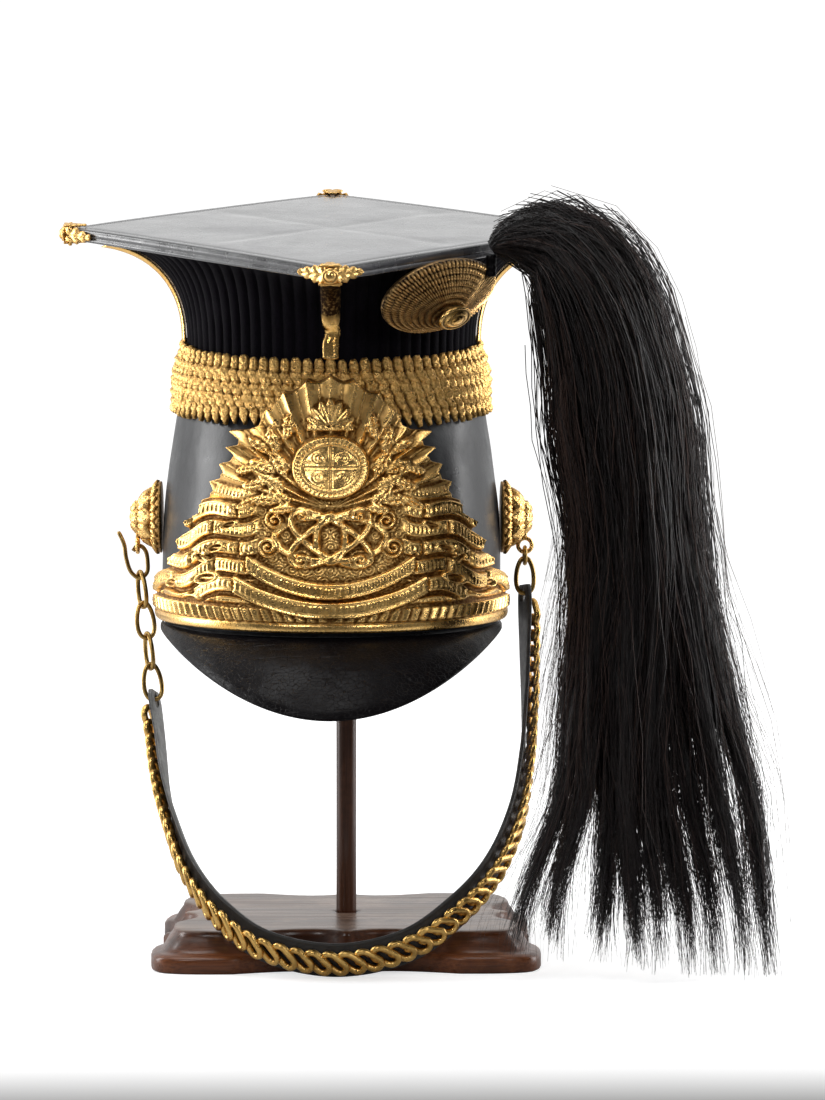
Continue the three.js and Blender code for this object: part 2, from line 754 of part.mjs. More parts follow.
/** A wire of a round section along points, open with capped ends, or closed on itself. */
function wire(points, radius, sides, steps, closed = false) {
  const curve = new THREE.CatmullRomCurve3(points, closed, "centripetal");
  const frames = curve.computeFrenetFrames(steps, closed);
  const rings = Array.from({ length: closed ? steps : steps + 1 }, (_, s) => {
    const centre = curve.getPointAt(s / steps);
    return Array.from({ length: sides }, (_, i) => {
      const turn = (i * 2 * Math.PI) / sides;
      return centre.clone()
        .addScaledVector(frames.normals[s], radius * Math.cos(turn))
        .addScaledVector(frames.binormals[s], radius * Math.sin(turn));
    });
  });
  return loft(rings, closed);
}

/** An oval link standing in the XZ plane, its middle at the origin. */
function ovalLink(length, width, radius) {
  const round = width / 2 - radius;
  const straight = length / 2 - radius - round;
  const rings = [];
  for (const end of [0, Math.PI]) {
    for (let step = 0; step <= 4; step++) {
      const turn = end + (step * Math.PI) / 4;
      const out = new THREE.Vector3(Math.cos(turn), 0, Math.sin(turn));
      const centre = out.clone().multiplyScalar(round);
      centre.z += end ? -straight : straight;
      rings.push(Array.from({ length: 6 }, (_, i) => {
        const around = (i * Math.PI) / 3;
        return centre.clone()
          .addScaledVector(out, radius * Math.cos(around))
          .add(new THREE.Vector3(0, radius * Math.sin(around), 0));
      }));
    }
  }
  return loft(rings, true);
}

/** The smooth curve of the strap's route. */
function strapCurve() {
  const points = strapRoute.map(({ x, y, z }) => new THREE.Vector3(x, y, z));
  return new THREE.CatmullRomCurve3(points, false, "centripetal");
}

/** The strap's frames along its route: place, outward normal and direction across. */
function strapFrames(steps) {
  const curve = strapCurve();
  return Array.from({ length: steps + 1 }, (_, i) => {
    const spot = curve.getPointAt(i / steps);
    const along = curve.getTangentAt(i / steps);
    const out = spot.clone().sub(strapFacing);
    out.addScaledVector(along, -out.dot(along)).normalize();
    return { spot, out, across: new THREE.Vector3().crossVectors(out, along) };
  });
}

/** The leather chin strap, with a hole at each end for its links. */
function chinStrap() {
  const frames = strapFrames(30);
  const corners = [[-1, -1], [1, -1], [1, 1], [-1, 1]];
  const band = loft(frames.map(({ spot, out, across }) => corners.map(([side, face]) => (
    spot.clone()
      .addScaledVector(across, (side * strapWidth) / 2)
      .addScaledVector(out, (face * strapThickness) / 2)))));
  const curve = strapCurve();
  const total = curve.getLength();
  const punch = (share, frame) => {
    const hole = new THREE.CylinderGeometry(strapHole / 2, strapHole / 2, strapThickness * 4, 10);
    hole.applyQuaternion(new THREE.Quaternion().setFromUnitVectors(new THREE.Vector3(0, 1, 0), frame.out));
    const at = curve.getPointAt(share);
    return hole.translate(at.x, at.y, at.z);
  };
  return cut(band, [
    punch(strapEnd / total, frames[0]),
    punch(1 - strapEnd / total, frames[frames.length - 1]),
  ]);
}

/** The outer form of the flat curb chain on the strap's outer face. */
function curbChain() {
  const steps = 36;
  const total = strapFrames(steps).reduce((sum, frame, i, all) => (
    i ? sum + frame.spot.distanceTo(all[i - 1].spot) : 0), 0);
  const skip = Math.ceil((chainInset / total) * steps);
  const lift = strapThickness / 2 + 1.5 * fitGap + chainThickness / 2;
  const frames = strapFrames(steps).slice(skip, steps + 1 - skip);
  return loft(frames.map(({ spot, out, across }) => Array.from({ length: 8 }, (_, i) => {
    const turn = ((i + 0.5) * Math.PI) / 4;
    return spot.clone()
      .addScaledVector(across, (chainWidth / 2) * Math.cos(turn))
      .addScaledVector(out, lift + (chainThickness / 2) * Math.sin(turn));
  })));
}

/** The stand board's outline: bracket-shaped sides, each with a cusp in its middle. */
function standRing(spread, z) {
  const halfWidth = standWidth / 2 + spread;
  const halfDepth = standDepth / 2 + spread;
  const perSide = 10;
  const side = (half, other) => Array.from({ length: perSide }, (_, i) => {
    const along = -half + (2 * half * (i + 0.5)) / perSide;
    const inner = Math.min(Math.abs(along) / (half - standLobe), 1);
    const recess = standRecess * Math.sin(Math.PI * inner ** 0.75);
    const end = THREE.MathUtils.clamp((Math.abs(along) - (half - standLobe)) / standLobe, 0, 1);
    return [along, other - recess - standRecess * 0.55 * end ** 4];
  });
  const ring = [];
  for (let quarter = 0; quarter < 4; quarter++) {
    const wide = quarter % 2 === 0;
    const points = wide ? side(halfWidth, halfDepth) : side(halfDepth, halfWidth);
    const turn = (quarter * Math.PI) / 2;
    for (const [along, out] of points) {
      ring.push(new THREE.Vector3(
        along * Math.cos(turn) + out * Math.sin(turn),
        along * Math.sin(turn) - out * Math.cos(turn), z));
    }
  }
  return ring;
}

/** The moulded wooden base with the rod's socket in it. */
function standBase() {
  const steps = [
    { up: 0, out: 0.93 }, { up: 0.04, out: 1 }, { up: 0.36, out: 1 }, { up: 0.47, out: 0.82 },
    { up: 0.5, out: 0.5 }, { up: 0.68, out: 0.3 }, { up: 0.86, out: 0.05 }, { up: 1, out: 0 },
  ];
  const body = loft(steps.map(({ up, out }) => standRing(standFootSpread * out, standHeight * up)));
  const socket = new THREE.CylinderGeometry(
    rodDiameter / 2 + fitGap, rodDiameter / 2 + fitGap, rodSocketDepth * 2, 20);
  socket.rotateX(Math.PI / 2);
  socket.translate(0, 0, standHeight);
  return cut(body, [socket]);
}

/** The rod, from its socket up to the inside of the skull's crown. */
function standRod() {
  const low = standHeight - rodSocketDepth + fitGap;
  const high = jointHeight - leatherWall - crownRise - 2 * fitGap;
  const radius = rodDiameter / 2;
  const profile = [[0, low], [radius, low], [radius, high - 3], [radius * 0.7, high - 0.9], [0, high]];
  const rod = new THREE.LatheGeometry(profile.map(([r, h]) => new THREE.Vector2(r, h)), 16);
  rod.rotateX(Math.PI / 2);
  return rod;
}

/** The cockade's frame: X along the face, Y up it and Z out of it. */
function cockadeFrame() {
  const lean = THREE.MathUtils.degToRad(cockadeLean);
  const tilt = tiltAt(cockadeSpot.z);
  const along = new THREE.Vector3(faceAlong.x, faceAlong.y * Math.cos(tilt), faceAlong.y * Math.sin(tilt));
  const up = new THREE.Vector3(faceOut.x * Math.sin(lean), faceOut.y * Math.sin(lean), Math.cos(lean));
  const out = new THREE.Vector3().crossVectors(along, up).normalize();
  return new THREE.Matrix4()
    .makeBasis(along, new THREE.Vector3().crossVectors(out, along), out)
    .setPosition(cockadeSpot);
}

/** The short rod that holds the plume, grown all round and past its ends. */
function socketRod(grow, past) {
  const radius = socketRadius + grow;
  const rod = new THREE.CylinderGeometry(radius, radius, socketLength + 2 * past, 10);
  rod.rotateX(Math.PI / 2);
  rod.rotateX(THREE.MathUtils.degToRad(boardTilt));
  const spot = plumeFoot.clone().setZ(plumeFoot.z - fitGap - socketLength / 2);
  const at = onBoard(spot);
  return rod.translate(at.x, at.y, at.z);
}

/** The place in the strap's hole where a link's wire passes, at its start or its end. */
function strapHold(end) {
  const curve = strapCurve();
  const inset = (strapEnd - strapHole / 2 + linkWire + 3 * fitGap) / curve.getLength();
  return curve.getPointAt(end ? 1 - inset : inset);
}

/** Links in a row between two places, each turned by its own angle about the row. */
function hangLinks(name, top, foot, turns) {
  const run = foot.clone().sub(top);
  const wireLength = linkLength - 2 * linkWire;
  const pitch = turns.length > 1 ? (run.length() - wireLength) / (turns.length - 1) : 0;
  const direction = run.clone().normalize();
  turns.forEach((turn, i) => {
    const link = piece(cap, name + (i + 1), ovalLink(linkLength, linkWidth, linkWire), "brass");
    link.quaternion.setFromUnitVectors(new THREE.Vector3(0, 0, -1), direction);
    link.rotateZ(THREE.MathUtils.degToRad(turn));
    link.position.copy(top).addScaledVector(direction, pitch * i + wireLength / 2);
  });
}

// Places that follow from the sizes above
const bossCentre = rimHeight + bossHeight;
const bossWall = skullHalfWidth + fitGap;
const faceOut = new THREE.Vector3(Math.SQRT1_2, -Math.SQRT1_2, 0);
const faceAlong = new THREE.Vector3(Math.SQRT1_2, Math.SQRT1_2, 0);
const cockadeSpot = faceOut.clone().multiplyScalar(boardSide / 2 - cockadeInset)
  .addScaledVector(faceAlong, -cockadeShift).setZ(boardHeight - cockadeBelowBoard);
const plumeFoot = faceOut.clone().multiplyScalar(boardSide / 2 + 5).addScaledVector(faceAlong, 10).setZ(2.6);
const plumeRoot = onBoard(plumeFoot.clone().setZ(plumeFoot.z + 2.6));

/** A point given in the board's own frame, as a point of the cap. */
function onBoard(p) {
  return p.clone().applyAxisAngle(new THREE.Vector3(1, 0, 0), THREE.MathUtils.degToRad(boardTilt))
    .add(new THREE.Vector3(0, 0, boardHeight));
}

piece(stand, "stand_base", standBase(), "wood");
piece(stand, "stand_rod", standRod(), "wood");
piece(cap, "skull", skull(), "patent");
piece(cap, "peak", peak(), "leather");
piece(cap, "cloth_top", clothTop(), "cloth");
piece(cap, "waist_band", waistBand(), "gilt");
piece(cap, "front_plate", frontPlate(), "gilt");

// The board and its corner mounts lie in a tilted frame of their own
const boardFrame = new THREE.Group();
boardFrame.position.z = boardHeight;
boardFrame.rotation.x = THREE.MathUtils.degToRad(boardTilt);
cap.add(boardFrame);
piece(boardFrame, "board", board(), "patent");
const corners = ["right", "back", "left", "front"];
corners.forEach((side, quarter) => {
  const leaf = piece(boardFrame, "corner_leaf_" + side, cornerLeaf(), "gilt");
  leaf.rotation.z = (quarter * Math.PI) / 2;
  piece(cap, "ridge_strip_" + side, ridgeStrip(quarter), "gilt");
});

// The cockade leans out from the front face on the wearer's left
const cockadeTurn = cockadeFrame();
piece(cap, "cockade", cut(cockade().applyMatrix4(cockadeTurn), [socketRod(fitGap, 8)]), "gilt");
const button = cockadeButton();
button.translate(cockadeDrift, -cockadeDrop, cockadeRise + 2.9);
piece(cap, "cockade_button", button.applyMatrix4(cockadeTurn), "gilt");
piece(cap, "plume_socket", socketRod(0, 0), "leather");
piece(cap, "plume", plume(), "hair");

// The side bosses and the chin chain between them
for (const [side, turn, lugFaces] of [["left", Math.PI, "sideways"], ["right", 0, "forwards"]]) {
  const boss = piece(cap, "boss_" + side, sideBoss(lugFaces), "gilt");
  boss.rotation.z = turn;
  boss.position.set(bossWall * Math.cos(turn), 0, bossCentre);
}
const hookPoints = hookRoute.map(({ out, up }) => new THREE.Vector3(
  -bossWall - lugReach - hookReach * out, 0, bossCentre - lugDrop + hookReach * up));
piece(cap, "chain_hook", wire(hookPoints, hookWire, 6, 22), "brass");
piece(cap, "chin_strap", chinStrap(), "leather");
piece(cap, "curb_chain", curbChain(), "brass");

// Four loose links hang from the hook to the strap's end, each turned against the last
const hookBottom = hookPoints.reduce((low, p) => (p.z < low.z ? p : low));
const chainTop = hookBottom.clone().setZ(hookBottom.z + hookWire + linkWire + 3 * fitGap);
hangLinks("link_left_", chainTop, strapHold(0), [-62, 22, -64, 12]);

// A ring and one link carry the strap's other end
const ring = piece(cap, "ring_right", new THREE.TorusGeometry(ringRadius, linkWire, 6, 12), "brass");
ring.rotation.y = Math.PI / 2;
ring.position.set(bossWall + lugReach, 0,
  bossCentre - lugDrop - lugRadius + lugWire + linkWire + fitGap - ringRadius);
const ringFoot = new THREE.Vector3(
  ring.position.x, 0, ring.position.z - ringRadius + 2 * linkWire + 2 * fitGap);
hangLinks("link_right_", ringFoot, strapHold(1), [0]);

export default root;
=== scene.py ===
"""Looks for a lancer's cap with a square top and a horsehair plume, on its wooden display stand.

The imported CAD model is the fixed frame. Sizes here are millimetres, and a mesh becomes metres when it
is made.
The front faces -Y, and the cap's own middle stands a little to the left of the stand's.
"""
from __future__ import annotations

import logging
import math
from dataclasses import dataclass, field
from enum import Enum
from typing import Optional, Sequence

import bpy
import numpy as np
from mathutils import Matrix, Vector

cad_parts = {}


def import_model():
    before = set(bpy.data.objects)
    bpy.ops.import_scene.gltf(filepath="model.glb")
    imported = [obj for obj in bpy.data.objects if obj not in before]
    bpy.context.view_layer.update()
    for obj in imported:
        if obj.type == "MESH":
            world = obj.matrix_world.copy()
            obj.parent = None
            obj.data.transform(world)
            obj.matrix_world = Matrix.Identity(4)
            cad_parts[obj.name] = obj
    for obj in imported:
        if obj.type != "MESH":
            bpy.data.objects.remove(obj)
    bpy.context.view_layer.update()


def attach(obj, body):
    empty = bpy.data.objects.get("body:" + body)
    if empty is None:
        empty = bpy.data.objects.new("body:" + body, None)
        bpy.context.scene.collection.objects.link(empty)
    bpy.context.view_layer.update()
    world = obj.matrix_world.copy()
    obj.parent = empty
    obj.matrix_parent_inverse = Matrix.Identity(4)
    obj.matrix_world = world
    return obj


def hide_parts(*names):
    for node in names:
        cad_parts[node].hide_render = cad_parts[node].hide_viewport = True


LOG = logging.getLogger("lancer_cap")
MM = 0.001
Array = np.ndarray


# Numbers and forms


def unit(vectors: Array) -> Array:
    """Vectors at length one.

    Args:
        vectors: rows of vectors, the last axis holding X, Y and Z.

    Returns:
        The same rows at length one.
    """
    length = np.linalg.norm(vectors, axis=-1, keepdims=True)
    return vectors / np.maximum(length, 1e-9)


def ramp(value: Array, low: float, high: float) -> Array:
    """A smooth step.

    Args:
        value: numbers of any shape.
        low: where the step is still 0.
        high: where the step has reached 1.

    Returns:
        Shares from 0 to 1.
    """
    t = np.clip((np.asarray(value, float) - low) / (high - low), 0, 1)
    return t * t * (3 - 2 * t)


def ridge(value: Array, half: float) -> Array:
    """A half-round ridge of height one around zero.

    Args:
        value: distance from the ridge's middle line.
        half: half of its width.

    Returns:
        Height shares, 0 outside the ridge.
    """
    return np.sqrt(np.clip(1 - (np.asarray(value, float) / half) ** 2, 0, 1))


def smooth_noise(x: Array, y: Array, seed: int, octaves: int = 3) -> Array:
    """A soft wavy field made of sines with fixed random directions.

    Args:
        x: first coordinate, in wave units.
        y: second coordinate.
        seed: which field.
        octaves: how many scales are summed.

    Returns:
        Values of about -1 to 1.
    """
    rng = np.random.default_rng(seed)
    total = np.zeros(np.broadcast(x, y).shape)
    weight = 0.0
    for octave in range(octaves):
        scale = 1.9**octave
        for _ in range(4):
            turn, phase = rng.uniform(0, 2 * math.pi, 2)
            wave = np.sin(scale * (x * math.cos(turn) + y * math.sin(turn)) * 2 * math.pi + phase)
            total = total + wave / scale
            weight += 1 / scale
    return total / weight * 1.8


class Smoother:
    """A table read along a smooth curve through its rows."""

    def __init__(self, keys: Sequence[float], values: Sequence[float]) -> None:
        """Keeps the rows.

        Args:
            keys: rising shares.
            values: the number at each share.
        """
        self.keys = np.asarray(keys, float)
        self.values = np.asarray(values, float)

    def __call__(self, share: Array) -> Array:
        """Reads the table.

        Args:
            share: where to read, of any shape.

        Returns:
            The curve's values there.
        """
        k, v = self.keys, self.values
        share = np.asarray(share, float)
        last = len(k) - 2
        i = np.clip(np.searchsorted(k, share, side="left") - 1, 0, last)
        lo, hi = np.maximum(i - 1, 0), np.minimum(i + 2, last + 1)
        span = k[i + 1] - k[i]
        t = (share - k[i]) / span
        start = (v[i + 1] - v[lo]) / (k[i + 1] - k[lo]) * span
        end = (v[hi] - v[i]) / (k[hi] - k[i]) * span
        t2, t3 = t * t, t * t * t
        return ((2 * t3 - 3 * t2 + 1) * v[i] + (t3 - 2 * t2 + t) * start + (3 * t2 - 2 * t3) * v[i + 1]
                + (t3 - t2) * end)


@dataclass(frozen=True)
class CapForm:
    """The cap's outer form, which every piece on it follows."""

    middle: float = -7.0
    rim: float = 157.0
    rim_tilt: float = 3.0
    skull_height: float = 118.0
    half_width: float = 80.5
    half_depth: float = 100.0
    top_height: float = 63.4
    waist_height: float = 15.0
    waist_radius: float = 68.5
    flare_power: float = 2.3
    cloth_inset: float = 4.0
    board_side: float = 178.0
    board_tilt: float = 13.4
    wide: Smoother = field(default=Smoother((0, 0.2, 0.42, 0.62, 0.78, 0.9, 1),
                                            (0.985, 1, 0.99, 0.96, 0.925, 0.9, 0.885)))
    deep: Smoother = field(default=Smoother((0, 0.2, 0.42, 0.62, 0.78, 0.9, 1),
                                            (0.99, 1, 0.975, 0.92, 0.855, 0.785, 0.735)))

    @property
    def joint(self) -> float:
        """Height of the joint between the skull and the cloth top."""
        return self.rim + self.skull_height

    @property
    def board_height(self) -> float:
        """Height of the board's underside at its middle."""
        return self.joint + self.top_height

    @property
    def board_reach(self) -> float:
        """From the board's middle to its corners."""
        return self.board_side / math.sqrt(2)

    def tilt(self, height: Array) -> Array:
        """Forward lean of the slice at a height, in radians."""
        share = np.maximum(0, (np.asarray(height, float) - self.rim) / (self.board_height - self.rim))
        return np.radians(self.rim_tilt + (self.board_tilt - self.rim_tilt) * share**1.15)

    def squareness(self, height: Array) -> Array:
        """How square the slice at a height is, from 0 for round to 1 for the board's square."""
        t = np.clip((np.asarray(height, float) - self.joint - self.waist_height)
                    / (self.top_height - self.waist_height), 0, 1)
        return 1 - (1 - t**self.flare_power) ** (1 / self.flare_power)

    def outline(self, angle: Array, height: Array, grow: Array = 0.0) -> tuple[Array, Array]:
        """The slice's outline.

        Args:
            angle: degrees, 0 to the right and 270 at the front.
            height: the slice's height.
            grow: how far outside the outline.

        Returns:
            X and Y in the slice's own plane.
        """
        angle, height, grow = np.broadcast_arrays(np.asarray(angle, float), np.asarray(height, float),
                                                  np.asarray(grow, float))
        up = np.minimum((height - self.rim) / self.skull_height, 1)
        across, back = self.half_width * self.wide(up), self.half_depth * self.deep(up)
        share = np.clip((height - self.joint) / self.waist_height, 0, 1)
        across = across + (self.waist_radius - across) * share
        back = back + (self.waist_radius - back) * share
        turn = np.radians(angle)
        quarter = np.floor(angle / 90)
        part = angle / 90 - quarter
        reach = self.board_reach - self.cloth_inset * math.sqrt(2)
        a, b = quarter * math.pi / 2, (quarter + 1) * math.pi / 2
        square_x = reach * (np.cos(a) * (1 - part) + np.cos(b) * part)
        square_y = reach * (np.sin(a) * (1 - part) + np.sin(b) * part)
        s = self.squareness(height)
        x = np.cos(turn) * across * (1 - s) + square_x * s
        y = np.sin(turn) * back * (1 - s) + square_y * s
        length = np.maximum(np.hypot(x, y), 1e-6)
        return x * (length + grow) / length, y * (length + grow) / length

    def on_slice(self, x: Array, y: Array, height: Array) -> Array:
        """A point given in a tilted slice, in the frame's own axes."""
        tilt = self.tilt(height)
        return np.stack(np.broadcast_arrays(x + self.middle, y * np.cos(tilt), height + y * np.sin(tilt)),
                        axis=-1)

    def spot(self, angle: Array, height: Array, grow: Array = 0.0) -> Array:
        """A point on the outer form, or outside it by grow."""
        x, y = self.outline(angle, height, grow)
        return self.on_slice(x, y, np.broadcast_to(height, x.shape))

    def facing(self, angle: Array, height: Array, grow: Array = 0.0) -> Array:
        """The outward direction of the outer form.

        Args:
            angle: degrees round the cap.
            height: the slice's height.
            grow: how far outside the outline.

        Returns:
            Unit vectors that point outwards.
        """
        angle, height = np.broadcast_arrays(np.asarray(angle, float), np.asarray(height, float))
        around = self.spot(angle + 0.5, height, grow) - self.spot(angle - 0.5, height, grow)
        above = self.spot(angle, height + 0.5, grow) - self.spot(angle, height - 0.5, grow)
        return unit(np.cross(around, above))

    def on_board(self, x: Array, y: Array, z: Array) -> Array:
        """A point given in the board's own tilted frame, in the frame's own axes."""
        tilt = math.radians(self.board_tilt)
        x, y, z = np.broadcast_arrays(np.asarray(x, float), np.asarray(y, float), np.asarray(z, float))
        return np.stack((x + self.middle, y * math.cos(tilt) - z * math.sin(tilt),
                         y * math.sin(tilt) + z * math.cos(tilt) + self.board_height), axis=-1)


FORM = CapForm()
SIDES = ("right", "back", "left", "front")


# Meshes


class Skin:
    """Points and faces of one piece, gathered body by body in millimetres."""

    def __init__(self) -> None:
        """Starts with no points."""
        self.points: list[Array] = []
        self.faces: list[list[int]] = []
        self.hollow: list[Array] = []
        self.along: list[Array] = []
        self.count = 0

    def add(self, points: Array, faces: Sequence[Sequence[int]], hollow: Optional[Array] = None,
            along: Optional[Array] = None, closed: bool = True) -> None:
        """Adds one body and turns its faces outwards.

        Args:
            points: rows of X, Y and Z.
            faces: the points of each face.
            hollow: how deep in a recess each point lies, from 0 to 1.
            along: a second value for each point, such as the share of a strand's length.
            closed: whether the body encloses a volume that tells which way is out.
        """
        points = np.asarray(points, float).reshape(-1, 3)
        faces = [list(f) for f in faces]
        if closed and enclosed(points, faces) < 0:
            faces = [f[::-1] for f in faces]
        self.faces += [[i + self.count for i in f] for f in faces]
        self.points.append(points)
        self.hollow.append(np.zeros(len(points)) if hollow is None else np.asarray(hollow, float).ravel())
        self.along.append(np.zeros(len(points)) if along is None else np.asarray(along, float).ravel())
        self.count += len(points)

    def rings(self, rings: Array, hollow: Optional[Array] = None, joined: bool = False, capped: bool = True,
              along: Optional[Array] = None) -> None:
        """Adds a body through rings of equally many points.

        Args:
            rings: an array of rings, points and axes.
            hollow: recess values, one for each ring point.
            joined: whether the last ring joins the first.
            capped: whether both ends are closed by a fan.
            along: second values, one for each ring point.
        """
        rows, n, _ = rings.shape
        faces = grid_faces(rows, n, joined, True)
        points = rings.reshape(-1, 3)
        hollow = np.zeros(rows * n) if hollow is None else np.asarray(hollow, float).ravel()
        along = np.zeros(rows * n) if along is None else np.asarray(along, float).ravel()
        if capped and not joined:
            for row, turned in ((0, True), (rows - 1, False)):
                centre = len(points)
                points = np.vstack((points, rings[row].mean(0)))
                hollow = np.append(hollow, hollow[row * n:(row + 1) * n].mean())
                along = np.append(along, along[row * n])
                for i in range(n):
                    a, b = row * n + i, row * n + (i + 1) % n
                    faces.append([centre, b, a] if turned else [centre, a, b])
        self.add(points, faces, hollow, along)

    def slab(self, face: Array, back: Array, hollow: Optional[Array] = None) -> None:
        """Adds a closed shell between two grids of points, its face and its back.

        Args:
            face: grid of points on the shown side.
            back: grid of as many points on the other side.
            hollow: recess values of the face.
        """
        rows, cols, _ = face.shape
        size = rows * cols
        front = grid_faces(rows, cols, False, False)
        faces = front + [[size + i for i in f[::-1]] for f in front]
        rim = ([c for c in range(cols - 1)] + [r * cols + cols - 1 for r in range(rows - 1)]
               + [(rows - 1) * cols + c for c in range(cols - 1, 0, -1)]
               + [r * cols for r in range(rows - 1, 0, -1)])
        for a, b in zip(rim, rim[1:] + rim[:1]):
            faces.append([b, a, size + a, size + b])
        depth = np.zeros(size) if hollow is None else np.asarray(hollow, float).ravel()
        # The back and sides get recess value 0.6: painted shade under the form.
        self.add(np.vstack((face.reshape(-1, 3), back.reshape(-1, 3))), faces,
                 np.concatenate((depth, depth * 0 + 0.6)))

    def make(self, name: str, material: bpy.types.Material, flat: bool = False) -> bpy.types.Object:
        """Makes the object, in metres, and adds it to the scene.

        Args:
            name: the piece's name.
            material: its finish.
            flat: whether its faces stay flat-shaded.

        Returns:
            The object, at the origin with its place in its mesh.
        """
        mesh = bpy.data.meshes.new(name)
        mesh.from_pydata((np.vstack(self.points) * MM).tolist(), [], self.faces)
        for key, values in (("hollow", self.hollow), ("along", self.along)):
            layer = mesh.attributes.new(key, "FLOAT", "POINT")
            layer.data.foreach_set("value", np.concatenate(values).astype(np.float32))
        mesh.validate()
        mesh.polygons.foreach_set("use_smooth", [not flat] * len(mesh.polygons))
        mesh.materials.append(material)
        made = bpy.data.objects.new(name, mesh)
        bpy.context.scene.collection.objects.link(made)
        return made


def enclosed(points: Array, faces: Sequence[Sequence[int]]) -> float:
    """Signed volume inside closed faces of three or four points."""
    tri = [(f[0], f[i], f[i + 1]) for f in faces for i in range(1, len(f) - 1)]
    t = np.asarray(tri)
    shifted = points - points.mean(0)
    a, b, c = shifted[t[:, 0]], shifted[t[:, 1]], shifted[t[:, 2]]
    return float(np.einsum("ij,ij->i", a, np.cross(b, c)).sum() / 6)


def grid_faces(rows: int, cols: int, join_rows: bool, join_cols: bool) -> list[list[int]]:
    """Four-sided faces of a grid of points.

    Args:
        rows: how many rows.
        cols: how many points a row.
        join_rows: whether the last row joins the first.
        join_cols: whether each row is a ring.

    Returns:
        The faces' point numbers.
    """
    r = np.arange(rows if join_rows else rows - 1)[:, None]
    c = np.arange(cols if join_cols else cols - 1)[None, :]
    r2, c2 = (r + 1) % rows, (c + 1) % cols
    quads = np.stack(np.broadcast_arrays(r * cols + c, r * cols + c2, r2 * cols + c2, r2 * cols + c), axis=-1)
    return quads.reshape(-1, 4).tolist()


def curve_through(points: Array, steps: int, closed: bool = False) -> Array:
    """Evenly spaced points on a centripetal curve through chosen points.

    Args:
        points: the chosen points.
        steps: how many spans the result has.
        closed: whether the curve joins its start.

    Returns:
        steps + 1 points, or steps points where closed.
    """
    p = np.asarray(points, float)
    if closed:
        p = np.vstack((p[-1], p, p[:2]))
    else:
        p = np.vstack((2 * p[0] - p[1], p, 2 * p[-1] - p[-2]))
    fine = []
    for i in range(1, len(p) - 2):
        p0, p1, p2, p3 = p[i - 1:i + 3]
        t1 = np.linalg.norm(p1 - p0) ** 0.5
        t2 = t1 + np.linalg.norm(p2 - p1) ** 0.5
        t3 = t2 + np.linalg.norm(p3 - p2) ** 0.5
        t = np.linspace(t1, t2, 25)[:-1, None]
        a1 = p0 * (t1 - t) / t1 + p1 * t / t1
        a2 = p1 * (t2 - t) / (t2 - t1) + p2 * (t - t1) / (t2 - t1)
        a3 = p2 * (t3 - t) / (t3 - t2) + p3 * (t - t2) / (t3 - t2)
        b1 = a1 * (t2 - t) / t2 + a2 * t / t2
        b2 = a2 * (t3 - t) / (t3 - t1) + a3 * (t - t1) / (t3 - t1)
        fine.append(b1 * (t2 - t) / (t2 - t1) + b2 * (t - t1) / (t2 - t1))
    fine.append(p[-2][None])
    line = np.vstack(fine)
    run = np.append(0, np.cumsum(np.linalg.norm(np.diff(line, axis=0), axis=1)))
    at = np.linspace(0, run[-1], steps + 1)
    even = np.stack([np.interp(at, run, line[:, k]) for k in range(3)], axis=-1)
    return even[:-1] if closed else even


def tube_rings(path: Array, radius: Array, sides: int, closed: bool = False) -> Array:
    """Rings of a round tube along a path.

    Args:
        path: the centre line.
        radius: one radius, or one for each point.
        sides: points in a ring.
        closed: whether the path is a loop.

    Returns:
        An array of rings, points and axes.
    """
    if closed:
        along = unit(np.roll(path, -1, 0) - np.roll(path, 1, 0))
    else:
        along = unit(np.gradient(path, axis=0))
    normal = np.cross(along[0], (0.0, 0.0, 1.0))
    if np.linalg.norm(normal) < 0.2:
        normal = np.cross(along[0], (0.0, 1.0, 0.0))
    normals = []
    for t in along:
        normal = unit(normal - t * np.dot(normal, t))
        normals.append(normal)
    normals = np.array(normals)
    across = np.cross(along, normals)
    turn = np.linspace(0, 2 * math.pi, sides, endpoint=False)
    radius = np.broadcast_to(np.asarray(radius, float), (len(path),))[:, None, None]
    return path[:, None] + radius * (np.cos(turn)[None, :, None] * normals[:, None]
                                     + np.sin(turn)[None, :, None] * across[:, None])


def lathe_rings(profile: Sequence[tuple[float, float]], sides: int) -> Array:
    """Rings of a turned form about +X: each row of the profile is a radius and a distance out."""
    turn = np.linspace(0, 2 * math.pi, sides, endpoint=False)
    rows = [np.stack((np.full(sides, out), r * np.cos(turn), r * np.sin(turn)), axis=-1)
            for r, out in profile]
    return np.array(rows)


def placed(points: Array, centre: Array, x_axis: Array, y_axis: Array, z_axis: Array) -> Array:
    """Points of a small form moved into a frame given by its centre and three axes."""
    return (np.asarray(centre) + points[..., 0:1] * np.asarray(x_axis) + points[..., 1:2] * np.asarray(y_axis)
            + points[..., 2:3] * np.asarray(z_axis))


# Finishes


